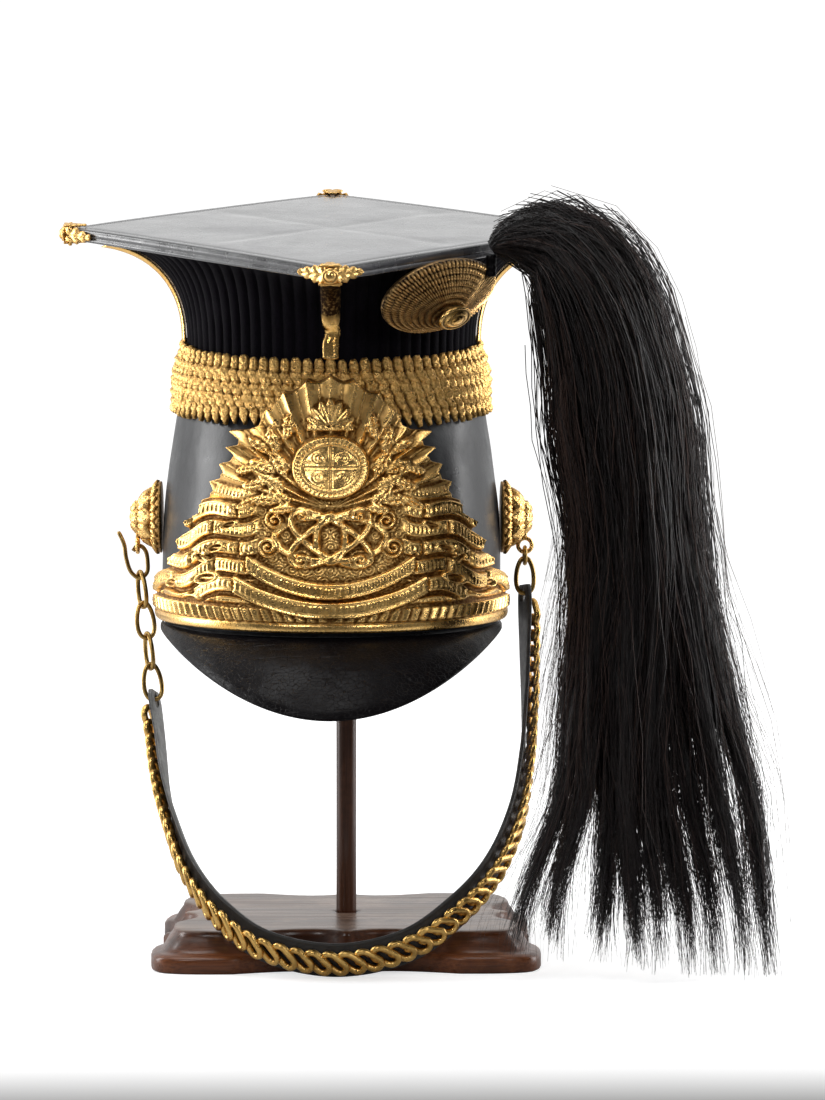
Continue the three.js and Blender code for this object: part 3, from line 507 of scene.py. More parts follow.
class Sketch:
    """Adds nodes to one node tree and joins them."""

    def __init__(self, tree: bpy.types.NodeTree) -> None:
        """Works on a tree."""
        self.tree = tree

    def add(self, kind: str, inputs: Optional[dict[str, object]] = None,
            **settings: object) -> bpy.types.Node:
        """Adds a node.

        Args:
            kind: the node's type name.
            inputs: sockets by name, each a plain value or another node's output socket.
            settings: the node's own properties.

        Returns:
            The node.
        """
        made = self.tree.nodes.new(kind)
        made.location = (len(self.tree.nodes) % 9 * 180, -(len(self.tree.nodes) // 9) * 260)
        for key, value in settings.items():
            setattr(made, key, value)
        for key, value in (inputs or {}).items():
            self.set(made.inputs[int(key)] if key.isdigit() else made.inputs[key], value)
        return made

    def set(self, socket: bpy.types.NodeSocket, value: object) -> None:
        """Gives a socket a plain value, or joins another node's output to it."""
        if isinstance(value, bpy.types.NodeSocket):
            self.tree.links.new(value, socket)
        else:
            socket.default_value = value

    def math(self, operation: str, a: object, b: object = 0.0, clamp: bool = False) -> bpy.types.NodeSocket:
        """The result of a Math node on one or two values."""
        return self.add("ShaderNodeMath", {"0": a, "1": b}, operation=operation, use_clamp=clamp).outputs[0]

    def span(self, value: object, low: float, high: float, to_low: float = 0.0,
             to_high: float = 1.0) -> bpy.types.NodeSocket:
        """A value mapped from one range to another and clamped."""
        return self.add("ShaderNodeMapRange", {"Value": value, "From Min": low, "From Max": high,
                                               "To Min": to_low, "To Max": to_high}).outputs["Result"]

    def blend(self, share: object, first: object, second: object) -> bpy.types.NodeSocket:
        """A colour between two others."""
        made = self.add("ShaderNodeMix", data_type="RGBA")
        self.set(made.inputs[0], share)
        self.set(made.inputs[6], first)
        self.set(made.inputs[7], second)
        return made.outputs[2]

    def noise(self, vector: object, scale: object, detail: float = 4.0,
              roughness: float = 0.55) -> bpy.types.NodeSocket:
        """The value of a noise texture."""
        return self.add("ShaderNodeTexNoise", {"Vector": vector, "Scale": scale, "Detail": detail,
                                               "Roughness": roughness}).outputs[0]


class Effect(Enum):
    """Surface effects that more than one finish uses, each a shader node group."""

    GRAIN = "fine_grain"
    PATCHES = "worn_patches"
    CRAZING = "crazing"
    RECESS = "recess_shade"
    FIBRE = "fibre"


class Effects:
    """Builds each shared effect once."""

    def __init__(self) -> None:
        """Starts with none built."""
        self.made: dict[Effect, bpy.types.NodeTree] = {}

    def start(self, effect: Effect, inputs: dict[str, object],
              outputs: Sequence[str]) -> tuple[Sketch, bpy.types.Node, bpy.types.Node]:
        """Opens a new group.

        Args:
            effect: which effect.
            inputs: socket names, each with its starting value, or None for a vector.
            outputs: names of its value sockets.

        Returns:
            The sketch, the group's input node and its output node.
        """
        tree = bpy.data.node_groups.new(effect.value, "ShaderNodeTree")
        for name, value in inputs.items():
            kind = "NodeSocketVector" if value is None else "NodeSocketFloat"
            socket = tree.interface.new_socket(name, in_out="INPUT", socket_type=kind)
            if value is not None:
                socket.default_value = value
        for name in outputs:
            tree.interface.new_socket(name, in_out="OUTPUT", socket_type="NodeSocketFloat")
        sketch = Sketch(tree)
        return sketch, sketch.add("NodeGroupInput"), sketch.add("NodeGroupOutput")

    def tree(self, effect: Effect) -> bpy.types.NodeTree:
        """The effect's node group, built when first asked for."""
        if effect not in self.made:
            builder = {Effect.GRAIN: self.grain, Effect.PATCHES: self.patches, Effect.CRAZING: self.crazing,
                       Effect.RECESS: self.recess, Effect.FIBRE: self.fibre}[effect]
            self.made[effect] = builder()
        return self.made[effect]

    def grain(self) -> bpy.types.NodeTree:
        """Fine pebbled grain: a value and a height, both from 0 to 1."""
        s, given, out = self.start(Effect.GRAIN, {"Vector": None, "Scale": 900.0, "Softness": 0.5},
                                   ("Value", "Height"))
        cells = s.add("ShaderNodeTexVoronoi", {"Vector": given.outputs[0], "Scale": given.outputs[1]},
                      feature="SMOOTH_F1")
        s.set(cells.inputs["Smoothness"], given.outputs[2])
        fine = s.noise(given.outputs[0], s.math("MULTIPLY", given.outputs[1], 2.3), 3.0)
        s.set(out.inputs[0], s.span(s.noise(given.outputs[0], s.math("MULTIPLY", given.outputs[1], 0.23)),
                                    0.3, 0.7))
        s.set(out.inputs[1],
              s.math("ADD", s.math("MULTIPLY", cells.outputs["Distance"], 0.7),
                     s.math("MULTIPLY", fine, 0.4)))
        return s.tree

    def patches(self) -> bpy.types.NodeTree:
        """Broad uneven patches of wear as a mask."""
        s, given, out = self.start(Effect.PATCHES, {"Vector": None, "Scale": 25.0, "Amount": 0.5}, ("Mask",))
        broad = s.noise(given.outputs[0], given.outputs[1], 6.0, 0.62)
        fine = s.noise(given.outputs[0], s.math("MULTIPLY", given.outputs[1], 9.0), 3.0, 0.6)
        mixed = s.math("ADD", s.math("MULTIPLY", broad, 0.75), s.math("MULTIPLY", fine, 0.25))
        edge = s.math("SUBTRACT", 0.72, s.math("MULTIPLY", given.outputs[2], 0.4))
        s.set(out.inputs[0], s.math("MULTIPLY", s.math("SUBTRACT", mixed, edge), 7.0, True))
        return s.tree

    def crazing(self) -> bpy.types.NodeTree:
        """Fine cracks in an old varnish: a mask of the cracks and a height that dips in them."""
        s, given, out = self.start(Effect.CRAZING, {"Vector": None, "Scale": 300.0, "Width": 0.06},
                                   ("Cracks", "Height"))
        bend = s.add("ShaderNodeTexNoise", {"Vector": given.outputs[0], "Scale": 60.0, "Detail": 3.0})
        moved = s.add("ShaderNodeVectorMath", {"0": bend.outputs["Color"], "1": (0.006, 0.006, 0.006)},
                      operation="MULTIPLY")
        at = s.add("ShaderNodeVectorMath", {"0": given.outputs[0], "1": moved.outputs[0]}, operation="ADD")
        cells = s.add("ShaderNodeTexVoronoi", {"Vector": at.outputs[0], "Scale": given.outputs[1]},
                      feature="DISTANCE_TO_EDGE")
        near = s.math("DIVIDE", cells.outputs["Distance"], given.outputs[2], True)
        s.set(out.inputs[0], s.math("SUBTRACT", 1.0, near))
        s.set(out.inputs[1], near)
        return s.tree

    def recess(self) -> bpy.types.NodeTree:
        """Dirt and painted shade in recesses: a mask from the piece's own recess values, broken up by noise.
        """
        s, given, out = self.start(Effect.RECESS, {"Vector": None, "Scale": 400.0, "Strength": 1.0},
                                   ("Mask",))
        depth = s.add("ShaderNodeAttribute", attribute_name="hollow").outputs["Fac"]
        broken = s.span(s.noise(given.outputs[0], given.outputs[1], 4.0, 0.6), 0.25, 0.75, 0.55, 1.25)
        s.set(out.inputs[0], s.math("MULTIPLY", s.math("MULTIPLY", depth, broken), given.outputs[2], True))
        return s.tree

    def fibre(self) -> bpy.types.NodeTree:
        """Long streaks along Z: a value and a height."""
        s, given, out = self.start(Effect.FIBRE, {"Vector": None, "Across": 700.0, "Along": 12.0},
                                   ("Value", "Height"))
        scale = s.add("ShaderNodeCombineXYZ",
                      {"X": given.outputs[1], "Y": given.outputs[1], "Z": given.outputs[2]})
        at = s.add("ShaderNodeVectorMath", {"0": given.outputs[0], "1": scale.outputs[0]},
                   operation="MULTIPLY")
        s.set(out.inputs[0], s.span(s.noise(at.outputs[0], 0.31, 4.0), 0.3, 0.7))
        s.set(out.inputs[1], s.noise(at.outputs[0], 1.0, 3.0))
        return s.tree


EFFECTS = Effects()


class FinishBench:
    """One material while it is being built: its sketch, its shader and its object coordinates."""

    def __init__(self, name: str) -> None:
        """Makes the material with one Principled shader.

        Args:
            name: the material's name.
        """
        self.material = bpy.data.materials.new(name)
        self.material.use_nodes = True
        tree = self.material.node_tree
        self.sketch = Sketch(tree)
        self.shader = next(n for n in tree.nodes if n.type == "BSDF_PRINCIPLED")
        self.place = self.sketch.add("ShaderNodeTexCoord").outputs["Object"]

    def effect(self, effect: Effect, vector: Optional[bpy.types.NodeSocket] = None,
               **values: float) -> bpy.types.Node:
        """Places a shared effect.

        Args:
            effect: which one.
            vector: coordinates it reads, the object's own where left out.
            values: its inputs by name, with _ for a space.

        Returns:
            The group node.
        """
        inputs: dict[str, object] = {key.replace("_", " "): value for key, value in values.items()}
        inputs["Vector"] = vector or self.place
        made = self.sketch.tree.nodes.new("ShaderNodeGroup")
        made.node_tree = EFFECTS.tree(effect)
        for key, value in inputs.items():
            self.sketch.set(made.inputs[key], value)
        return made

    def set(self, **values: object) -> None:
        """Sets the shader's sockets by name, with _ for a space."""
        for key, value in values.items():
            self.sketch.set(self.shader.inputs[key.replace("_", " ")], value)

    def bump(self, height: bpy.types.NodeSocket, strength: float, distance: float,
             normal: Optional[bpy.types.NodeSocket] = None) -> bpy.types.NodeSocket:
        """A Bump node's normal.

        Args:
            height: the height it reads.
            strength: its strength.
            distance: its depth in metres.
            normal: a normal that it adds to.

        Returns:
            The bumped normal.
        """
        made = self.sketch.add("ShaderNodeBump",
                               {"Height": height, "Strength": strength, "Distance": distance})
        if normal is not None:
            self.sketch.set(made.inputs["Normal"], normal)
        return made.outputs[0]


@dataclass(frozen=True)
class PatentLeather:
    """Glossy black leather: a soft sheen, faint dents, a fine grain and scuffed patches."""

    name: str = "patent_leather"
    colour: tuple[float, float, float, float] = (0.010, 0.011, 0.013, 1)
    scuff: tuple[float, float, float, float] = (0.055, 0.058, 0.062, 1)
    roughness: float = 0.31
    worn: float = 0.5
    dents: float = 0.6
    coat: float = 0.05
    gloss: float = 0.3
    edge: tuple[float, float, float, float] = (0.115, 0.115, 0.125, 1)

    def make(self) -> bpy.types.Material:
        """The finished material."""
        b = FinishBench(self.name)
        s = b.sketch
        patches = b.effect(Effect.PATCHES, Scale=22.0, Amount=self.worn)
        grain = b.effect(Effect.GRAIN, Scale=950.0, Softness=0.6)
        streak = s.noise(b.place, 70.0, 5.0, 0.65)
        rubbed = s.blend(s.math("MULTIPLY", patches.outputs["Mask"], 0.75), self.colour, self.scuff)
        # Where the recess values mark edge bands, the colour turns a paler grey.
        side = s.add("ShaderNodeAttribute", attribute_name="hollow").outputs["Fac"]
        b.set(Base_Color=s.blend(s.math("MULTIPLY", side, s.span(streak, 0.3, 0.7, 0.55, 1.0)), rubbed,
                                 self.edge),
              Roughness=s.math("ADD", s.span(streak, 0.3, 0.7, self.roughness - 0.05, self.roughness + 0.09),
                               s.math("MULTIPLY", patches.outputs["Mask"], 0.16)),
              Coat_Weight=self.coat, Coat_Roughness=0.14, Specular_IOR_Level=self.gloss)
        dents = b.bump(s.noise(b.place, 38.0, 2.0, 0.4), self.dents, 0.0016)
        b.set(Normal=b.bump(grain.outputs["Height"], 0.22, 0.00025, dents))
        return b.material


@dataclass(frozen=True)
class CrazedLeather:
    """Duller black leather with a crazed old varnish and pale scratches."""

    name: str = "crazed_leather"
    colour: tuple[float, float, float, float] = (0.0035, 0.0028, 0.0034, 1)
    pale: tuple[float, float, float, float] = (0.075, 0.070, 0.072, 1)
    roughness: float = 0.3

    def make(self) -> bpy.types.Material:
        """The finished material."""
        b = FinishBench(self.name)
        s = b.sketch
        crazing = b.effect(Effect.CRAZING, Scale=470.0, Width=0.05)
        patches = b.effect(Effect.PATCHES, Scale=30.0, Amount=0.5)
        streaks = s.add("ShaderNodeMapping",
                        {"Vector": b.place, "Scale": (18.0, 160.0, 420.0), "Rotation": (0.2, 0.1, 0.05)})
        lines = s.span(s.noise(streaks.outputs[0], 1.0, 2.0), 0.63, 0.7)
        mark = s.math("MAXIMUM",
                      s.math("MULTIPLY", crazing.outputs["Cracks"],
                             s.math("ADD", s.math("MULTIPLY", patches.outputs["Mask"], 0.16), 0.03)),
                      s.math("MULTIPLY", lines,
                             s.math("ADD", s.math("MULTIPLY", patches.outputs["Mask"], 0.5), 0.05)))
        b.set(Base_Color=s.blend(mark, self.colour, self.pale),
              Roughness=s.span(patches.outputs["Mask"], 0.0, 1.0, self.roughness, self.roughness + 0.2),
              Specular_IOR_Level=0.07)
        dents = b.bump(s.noise(b.place, 60.0, 3.0, 0.5), 0.7, 0.0014)
        relief = s.math("SUBTRACT", crazing.outputs["Height"], s.math("MULTIPLY", lines, 1.4))
        b.set(Normal=b.bump(relief, 0.45, 0.00035, dents))
        return b.material


@dataclass(frozen=True)
class RibbedCloth:
    """Dark navy wool cloth with a fine felted weave and a faint sheen, its rib grooves painted darker as
    shade.
    """

    name: str = "ribbed_cloth"
    colour: tuple[float, float, float, float] = (0.0022, 0.0018, 0.0032, 1)
    lit: tuple[float, float, float, float] = (0.0085, 0.0065, 0.0105, 1)

    def make(self) -> bpy.types.Material:
        """The finished material."""
        b = FinishBench(self.name)
        s = b.sketch
        grain = b.effect(Effect.GRAIN, Scale=1500.0, Softness=0.3)
        patches = b.effect(Effect.PATCHES, Scale=35.0, Amount=0.45)
        fuzz = s.math("MAXIMUM", s.math("MULTIPLY", patches.outputs["Mask"], 0.5),
                      s.math("MULTIPLY", grain.outputs["Value"], 0.6))
        recess = b.effect(Effect.RECESS, Scale=500.0, Strength=1.0)
        # The recess mask holds the rib grooves at the dark colour: painted shade in the grooves.
        b.set(Base_Color=s.blend(s.math("MULTIPLY", fuzz, s.math("SUBTRACT", 1.0, recess.outputs["Mask"])),
                                 self.colour, self.lit),
              Roughness=s.span(grain.outputs["Value"], 0.0, 1.0, 0.82, 0.98),
              Sheen_Weight=0.02, Sheen_Roughness=0.5, Specular_IOR_Level=0.06)
        b.set(Normal=b.bump(grain.outputs["Height"], 0.5, 0.0003))
        return b.material


@dataclass(frozen=True)
class GiltBrass:
    """Gilded brass: bright on its high places, brown in its recesses for dirt and painted shade, with small
    marks.
    """

    name: str = "gilt_brass"
    bright: tuple[float, float, float, float] = (1.0, 0.63, 0.22, 1)
    warm: tuple[float, float, float, float] = (0.86, 0.45, 0.095, 1)
    dirt_and_shade: tuple[float, float, float, float] = (0.125, 0.045, 0.004, 1)
    roughness: float = 0.24
    dirt_and_shade_strength: float = 1.0
    hammer: float = 0.35
    beading: float = 0.0

    def make(self) -> bpy.types.Material:
        """The finished material."""
        b = FinishBench(self.name)
        s = b.sketch
        recess = b.effect(Effect.RECESS, Scale=650.0, Strength=self.dirt_and_shade_strength)
        patches = b.effect(Effect.PATCHES, Scale=55.0, Amount=0.5)
        grain = b.effect(Effect.GRAIN, Scale=1400.0, Softness=0.5)
        metal = s.blend(s.math("MULTIPLY", patches.outputs["Mask"], 0.7), self.bright, self.warm)
        # The recess mask turns the metal to the dirt-and-shade colour: painted shade with some dirt in the
        # recesses.
        b.set(Base_Color=s.blend(recess.outputs["Mask"], metal, self.dirt_and_shade),
              Metallic=s.span(recess.outputs["Mask"], 0.3, 1.0, 1.0, 0.88),
              Roughness=s.math("ADD",
                               s.span(grain.outputs["Value"], 0.0, 1.0,
                                      self.roughness - 0.04, self.roughness + 0.08),
                               s.math("MULTIPLY", recess.outputs["Mask"], 0.3)))
        surface = b.bump(grain.outputs["Height"], self.hammer, 0.00022)
        if self.beading:
            bead = s.add("ShaderNodeTexVoronoi",
                         {"Vector": b.place, "Scale": 1050.0, "Randomness": 0.75}).outputs["Distance"]
            surface = b.bump(s.math("SUBTRACT", 1.0, bead), self.beading, 0.0007, surface)
        b.set(Normal=surface)
        return b.material


@dataclass(frozen=True)
class Horsehair:
    """Brown-black horsehair with a silky gloss, browner and paler in single strands."""

    name: str = "horsehair"
    colour: tuple[float, float, float, float] = (0.0020, 0.0014, 0.0017, 1)
    brown: tuple[float, float, float, float] = (0.021, 0.012, 0.011, 1)
    body: bool = False

    def make(self) -> bpy.types.Material:
        """The finished material."""
        b = FinishBench(self.name)
        s = b.sketch
        streak = b.effect(Effect.FIBRE, Across=900.0, Along=9.0)
        share = s.math("MULTIPLY", streak.outputs["Value"], 0.12 if self.body else 0.8)
        b.set(Base_Color=s.blend(share, self.colour, self.brown),
              Roughness=s.span(streak.outputs["Value"], 0.0, 1.0, 0.36, 0.52), Specular_IOR_Level=0.36)
        if self.body:
            b.set(Normal=b.bump(streak.outputs["Height"], 1.0, 0.0012))
        else:
            b.set(Normal=b.bump(streak.outputs["Height"], 0.2, 0.0002))
        return b.material


@dataclass(frozen=True)
class StrapLeather:
    """Old strap leather: dark outside, with a pale grey inner face over its first half, in uneven patches."""

    name: str = "strap_leather"
    colour: tuple[float, float, float, float] = (0.020, 0.018, 0.017, 1)
    worn: tuple[float, float, float, float] = (0.44, 0.44, 0.43, 1)

    def make(self) -> bpy.types.Material:
        """The finished material."""
        b = FinishBench(self.name)
        s = b.sketch
        inner = s.add("ShaderNodeAttribute", attribute_name="hollow").outputs["Fac"]
        patches = b.effect(Effect.PATCHES, Scale=90.0, Amount=0.6)
        grain = b.effect(Effect.GRAIN, Scale=1200.0, Softness=0.4)
        share = s.math("MULTIPLY", s.math("ADD", inner, 0.03),
                       s.math("ADD", s.math("MULTIPLY", patches.outputs["Mask"], 0.45), 0.5), True)
        b.set(Base_Color=s.blend(share, self.colour, self.worn),
              Roughness=s.span(grain.outputs["Value"], 0.0, 1.0, 0.45, 0.68))
        b.set(Normal=b.bump(grain.outputs["Height"], 0.4, 0.0003))
        return b.material


@dataclass(frozen=True)
class StandWood:
    """Dark reddish wood with long figure and a polish, its top a paler greyish tan."""

    name: str = "stand_wood"
    dark: tuple[float, float, float, float] = (0.013, 0.0048, 0.0028, 1)
    red: tuple[float, float, float, float] = (0.23, 0.072, 0.024, 1)
    rubbed: tuple[float, float, float, float] = (0.36, 0.29, 0.23, 1)
    upright: bool = False

    def make(self) -> bpy.types.Material:
        """The finished material."""
        b = FinishBench(self.name)
        s = b.sketch
        turn = (0.0, 0.0, 0.0) if self.upright else (0.0, math.pi / 2, 0.04)
        grain_way = s.add("ShaderNodeMapping", {"Vector": b.place, "Rotation": turn})
        figure = b.effect(Effect.FIBRE, grain_way.outputs[0], Across=150.0, Along=7.0)
        pores = b.effect(Effect.FIBRE, grain_way.outputs[0], Across=1300.0, Along=40.0)
        patches = b.effect(Effect.PATCHES, Scale=28.0, Amount=0.55)
        share = s.math("MULTIPLY",
                       s.math("ADD", s.math("MULTIPLY", figure.outputs["Value"], 0.65),
                              s.math("MULTIPLY", patches.outputs["Mask"], 0.4)),
                       s.span(pores.outputs["Height"], 0.35, 0.6, 0.55, 1.0), True)
        top = s.add("ShaderNodeAttribute", attribute_name="hollow").outputs["Fac"]
        # The top rows turn a paler greyish tan, broken up by patches and figure.
        worn = s.math("MULTIPLY", top,
                      s.math("ADD", s.math("MULTIPLY", patches.outputs["Mask"], 0.3),
                             s.math("MULTIPLY", figure.outputs["Value"], 0.5)), True)
        b.set(Base_Color=s.blend(worn, s.blend(share, self.dark, self.red), self.rubbed),
              Roughness=s.span(pores.outputs["Value"], 0.0, 1.0, 0.24, 0.42),
              Coat_Weight=0.1 if self.upright else 0.16, Coat_Roughness=0.2, Specular_IOR_Level=0.3)
        b.set(Normal=b.bump(pores.outputs["Height"], 0.25, 0.0002))
        return b.material


@dataclass(frozen=True)
class PalePaper:
    """The studio's pale floor, lit from within so that it fades into the white surroundings, with painted
    shade near the middle and at the front edge.
    """

    name: str = "pale_floor"

    def make(self) -> bpy.types.Material:
        """The finished material."""
        b = FinishBench(self.name)
        s = b.sketch
        far = s.add("ShaderNodeVectorMath", {"0": b.place}, operation="LENGTH").outputs["Value"]
        # Painted shade: the glow and the colour darken towards the floor's front edge, and the glow is weaker
        # near the middle.
        near_edge = s.span(s.add("ShaderNodeSeparateXYZ", {"Vector": b.place}).outputs["Y"], -0.415, -0.275,
                           0.0, 1.0)
        glow = s.math("MULTIPLY", s.span(far, 0.15, 0.9, 0.62, 1.0), s.span(near_edge, 0.0, 1.0, 0.1, 1.0))
        glow = s.math("MULTIPLY", glow, s.add("ShaderNodeLightPath").outputs["Is Camera Ray"])
        tint = s.add("ShaderNodeCombineXYZ", {"X": glow, "Y": glow, "Z": glow}).outputs[0]
        paper = s.blend(s.noise(b.place, 30.0), (0.55, 0.55, 0.56, 1), (0.6, 0.6, 0.6, 1))
        b.set(Base_Color=s.blend(near_edge, (0.11, 0.11, 0.107, 1), paper), Roughness=0.8,
              Specular_IOR_Level=0.1,
              Emission_Color=tint, Emission_Strength=1.0)
        return b.material


class Finishes:
    """Every material of the piece, built once."""

    def __init__(self) -> None:
        """Builds them."""
        self.skull = PatentLeather().make()
        self.board = PatentLeather(name="board_leather", roughness=0.24, worn=0.55, dents=0.75, coat=1.0,
                                   gloss=0.55).make()
        self.lining = PatentLeather(name="lining_leather", colour=(0.03, 0.022, 0.016, 1),
                                    roughness=0.5).make()
        self.peak = CrazedLeather().make()
        self.cloth = RibbedCloth().make()
        self.plate = GiltBrass().make()
        self.band = GiltBrass(name="band_gilt", bright=(0.92, 0.57, 0.19, 1), warm=(0.66, 0.36, 0.08, 1),
                              dirt_and_shade=(0.050, 0.018, 0.003, 1), roughness=0.27, beading=0.8).make()
        self.boss = GiltBrass(name="boss_gilt", dirt_and_shade=(0.16, 0.065, 0.01, 1), roughness=0.22,
                              beading=0.45).make()
        # The cockade's gilt is darker than the plate's: tarnish, and painted shadow under the board.
        self.cockade = GiltBrass(name="tarnished_gilt", bright=(1.0, 0.62, 0.25, 1),
                                 warm=(0.55, 0.27, 0.085, 1),
                                 dirt_and_shade=(0.010, 0.004, 0.002, 1), roughness=0.2, dirt_and_shade_strength=1.05).make()
        # The strip gilt is nearly black in its recesses: tarnish and painted shadow under the board.
        self.strip = GiltBrass(name="strip_gilt", dirt_and_shade=(0.028, 0.011, 0.003, 1), roughness=0.2,
                               dirt_and_shade_strength=1.1, hammer=0.5).make()
        self.aged = GiltBrass(name="aged_brass", bright=(0.44, 0.28, 0.09, 1), warm=(0.17, 0.10, 0.035, 1),
                              dirt_and_shade=(0.03, 0.018, 0.008, 1), roughness=0.3).make()
        self.curb = GiltBrass(name="curb_brass", bright=(0.74, 0.46, 0.14, 1), warm=(0.32, 0.18, 0.05, 1),
                              dirt_and_shade=(0.022, 0.011, 0.004, 1), roughness=0.28).make()
        self.hair = Horsehair().make()
        self.hair_loose = Horsehair(name="horsehair_loose", colour=(0.016, 0.010, 0.009, 1),
                                    brown=(0.10, 0.055, 0.042, 1)).make()
        self.hair_body = Horsehair(name="horsehair_mass", body=True).make()
        self.strap = StrapLeather().make()
        self.wood = StandWood().make()
        self.rod = StandWood(name="rod_wood", upright=True, dark=(0.022, 0.009, 0.005, 1),
                             red=(0.13, 0.05, 0.026, 1)).make()
        self.floor = PalePaper().make()


# Geometry node trees


class NodeTool:
    """A Geometry Nodes tree with named inputs, run on an object and turned into a plain mesh."""

    def __init__(self, name: str, inputs: Sequence[tuple[str, str]]) -> None:
        """Opens the tree.

        Args:
            name: the tree's name.
            inputs: name and socket type of each input after the geometry.
        """
        self.tree = bpy.data.node_groups.new(name, "GeometryNodeTree")
        face = self.tree.interface
        face.new_socket("Geometry", in_out="INPUT", socket_type="NodeSocketGeometry")
        self.sockets = {label: face.new_socket(label, in_out="INPUT", socket_type=kind).identifier
                        for label, kind in inputs}
        face.new_socket("Geometry", in_out="OUTPUT", socket_type="NodeSocketGeometry")
        self.sketch = Sketch(self.tree)
        self.given = self.sketch.add("NodeGroupInput")
        self.result = self.sketch.add("NodeGroupOutput")

    def attribute(self, name: str, kind: str) -> bpy.types.NodeSocket:
        """A named attribute of the geometry, as a socket."""
        return self.sketch.add("GeometryNodeInputNamedAttribute", {"Name": name},
                               data_type=kind).outputs["Attribute"]

    def run(self, carrier: bpy.types.Object, **values: object) -> bpy.types.Object:
        """Runs the tree on an object and keeps the result as its plain mesh.

        Args:
            carrier: the object with the points or lines.
            values: the inputs by name, with _ for a space.

        Returns:
            The same object.
        """
        modifier = carrier.modifiers.new("made", "NODES")
        modifier.node_group = self.tree
        for key, value in values.items():
            modifier[self.sockets[key.replace("_", " ")]] = value
        carrier.update_tag()
        bpy.context.view_layer.update()
        graph = bpy.context.evaluated_depsgraph_get()
        mesh = bpy.data.meshes.new_from_object(carrier.evaluated_get(graph), preserve_all_data_layers=True,
                                               depsgraph=graph)
        carrier.modifiers.remove(modifier)
        carrier.data = mesh
        mesh.name = carrier.name
        return carrier


class CopyTool(NodeTool):
    """Sets copies of a small form on points, turned by each point's facing and rise and sized by its size."""

    def __init__(self) -> None:
        """Builds the tree."""
        super().__init__("set_copies", [("Copy", "NodeSocketObject"), ("Copy size", "NodeSocketFloat"),
                                        ("Size spread", "NodeSocketFloat"), ("Seed", "NodeSocketInt"),
                                        ("Finish", "NodeSocketMaterial")])
        s = self.sketch
        turn = s.add("FunctionNodeAxesToRotation",
                     {"0": self.attribute("facing", "FLOAT_VECTOR"),
                      "1": self.attribute("rise", "FLOAT_VECTOR")},
                     primary_axis="Z", secondary_axis="X")
        chance = s.add("FunctionNodeRandomValue", data_type="FLOAT")
        for socket in chance.inputs:
            if socket.name == "Seed":
                s.set(socket, self.given.outputs["Seed"])
        low = s.math("SUBTRACT", 1.0, self.given.outputs["Size spread"])
        high = s.math("ADD", 1.0, self.given.outputs["Size spread"])
        s.set(chance.inputs[2], low)
        s.set(chance.inputs[3], high)
        size = s.math("MULTIPLY", s.math("MULTIPLY", self.given.outputs["Copy size"], chance.outputs[1]),
                      self.attribute("size", "FLOAT"))
        form = s.add("GeometryNodeObjectInfo", {"Object": self.given.outputs["Copy"]})
        sizes = s.add("ShaderNodeCombineXYZ", {"X": size, "Y": size, "Z": size})
        copies = s.add("GeometryNodeInstanceOnPoints",
                       {"Points": self.given.outputs["Geometry"], "Instance": form.outputs["Geometry"],
                                                        "Rotation": turn.outputs[0],
                                                        "Scale": sizes.outputs[0]})
        real = s.add("GeometryNodeRealizeInstances", {"Geometry": copies.outputs[0]})
        done = s.add("GeometryNodeSetMaterial",
                     {"Geometry": real.outputs[0], "Material": self.given.outputs["Finish"]})
        s.set(self.result.inputs[0], done.outputs[0])

    def place(self, name: str, form: "Skin", at: Array, facing: Array, rise: Array,
              finish: bpy.types.Material,
              size: Array | float = 1.0, spread: float = 0.0, seed: int = 1) -> bpy.types.Object:
        """Copies a form onto places.

        Args:
            name: the piece's name.
            form: the small form around its own origin, its face to +Z and its top to +X.
            at: places in millimetres.
            facing: where each copy's +Z points.
            rise: where each copy's +X points, as nearly as it can.
            finish: the material.
            size: one size share, or one for each place.
            spread: random spread of the sizes.
            seed: the spread's seed.

        Returns:
            The piece, as one plain mesh.
        """
        pattern = form.make(name + "_form", finish)
        mesh = bpy.data.meshes.new(name)
        mesh.from_pydata((np.asarray(at) * MM).tolist(), [], [])
        for key, value in (("facing", facing), ("rise", rise)):
            flat = np.broadcast_to(value, np.asarray(at).shape).astype(np.float32).ravel()
            mesh.attributes.new(key, "FLOAT_VECTOR", "POINT").data.foreach_set("vector", flat)
        sizes = np.broadcast_to(size, len(at)).astype(np.float32)
        mesh.attributes.new("size", "FLOAT", "POINT").data.foreach_set("value", sizes)
        carrier = bpy.data.objects.new(name, mesh)
        bpy.context.scene.collection.objects.link(carrier)
        self.run(carrier, Copy=pattern, Copy_size=1.0, Size_spread=spread, Seed=seed, Finish=finish)
        bpy.data.objects.remove(pattern)
        return carrier


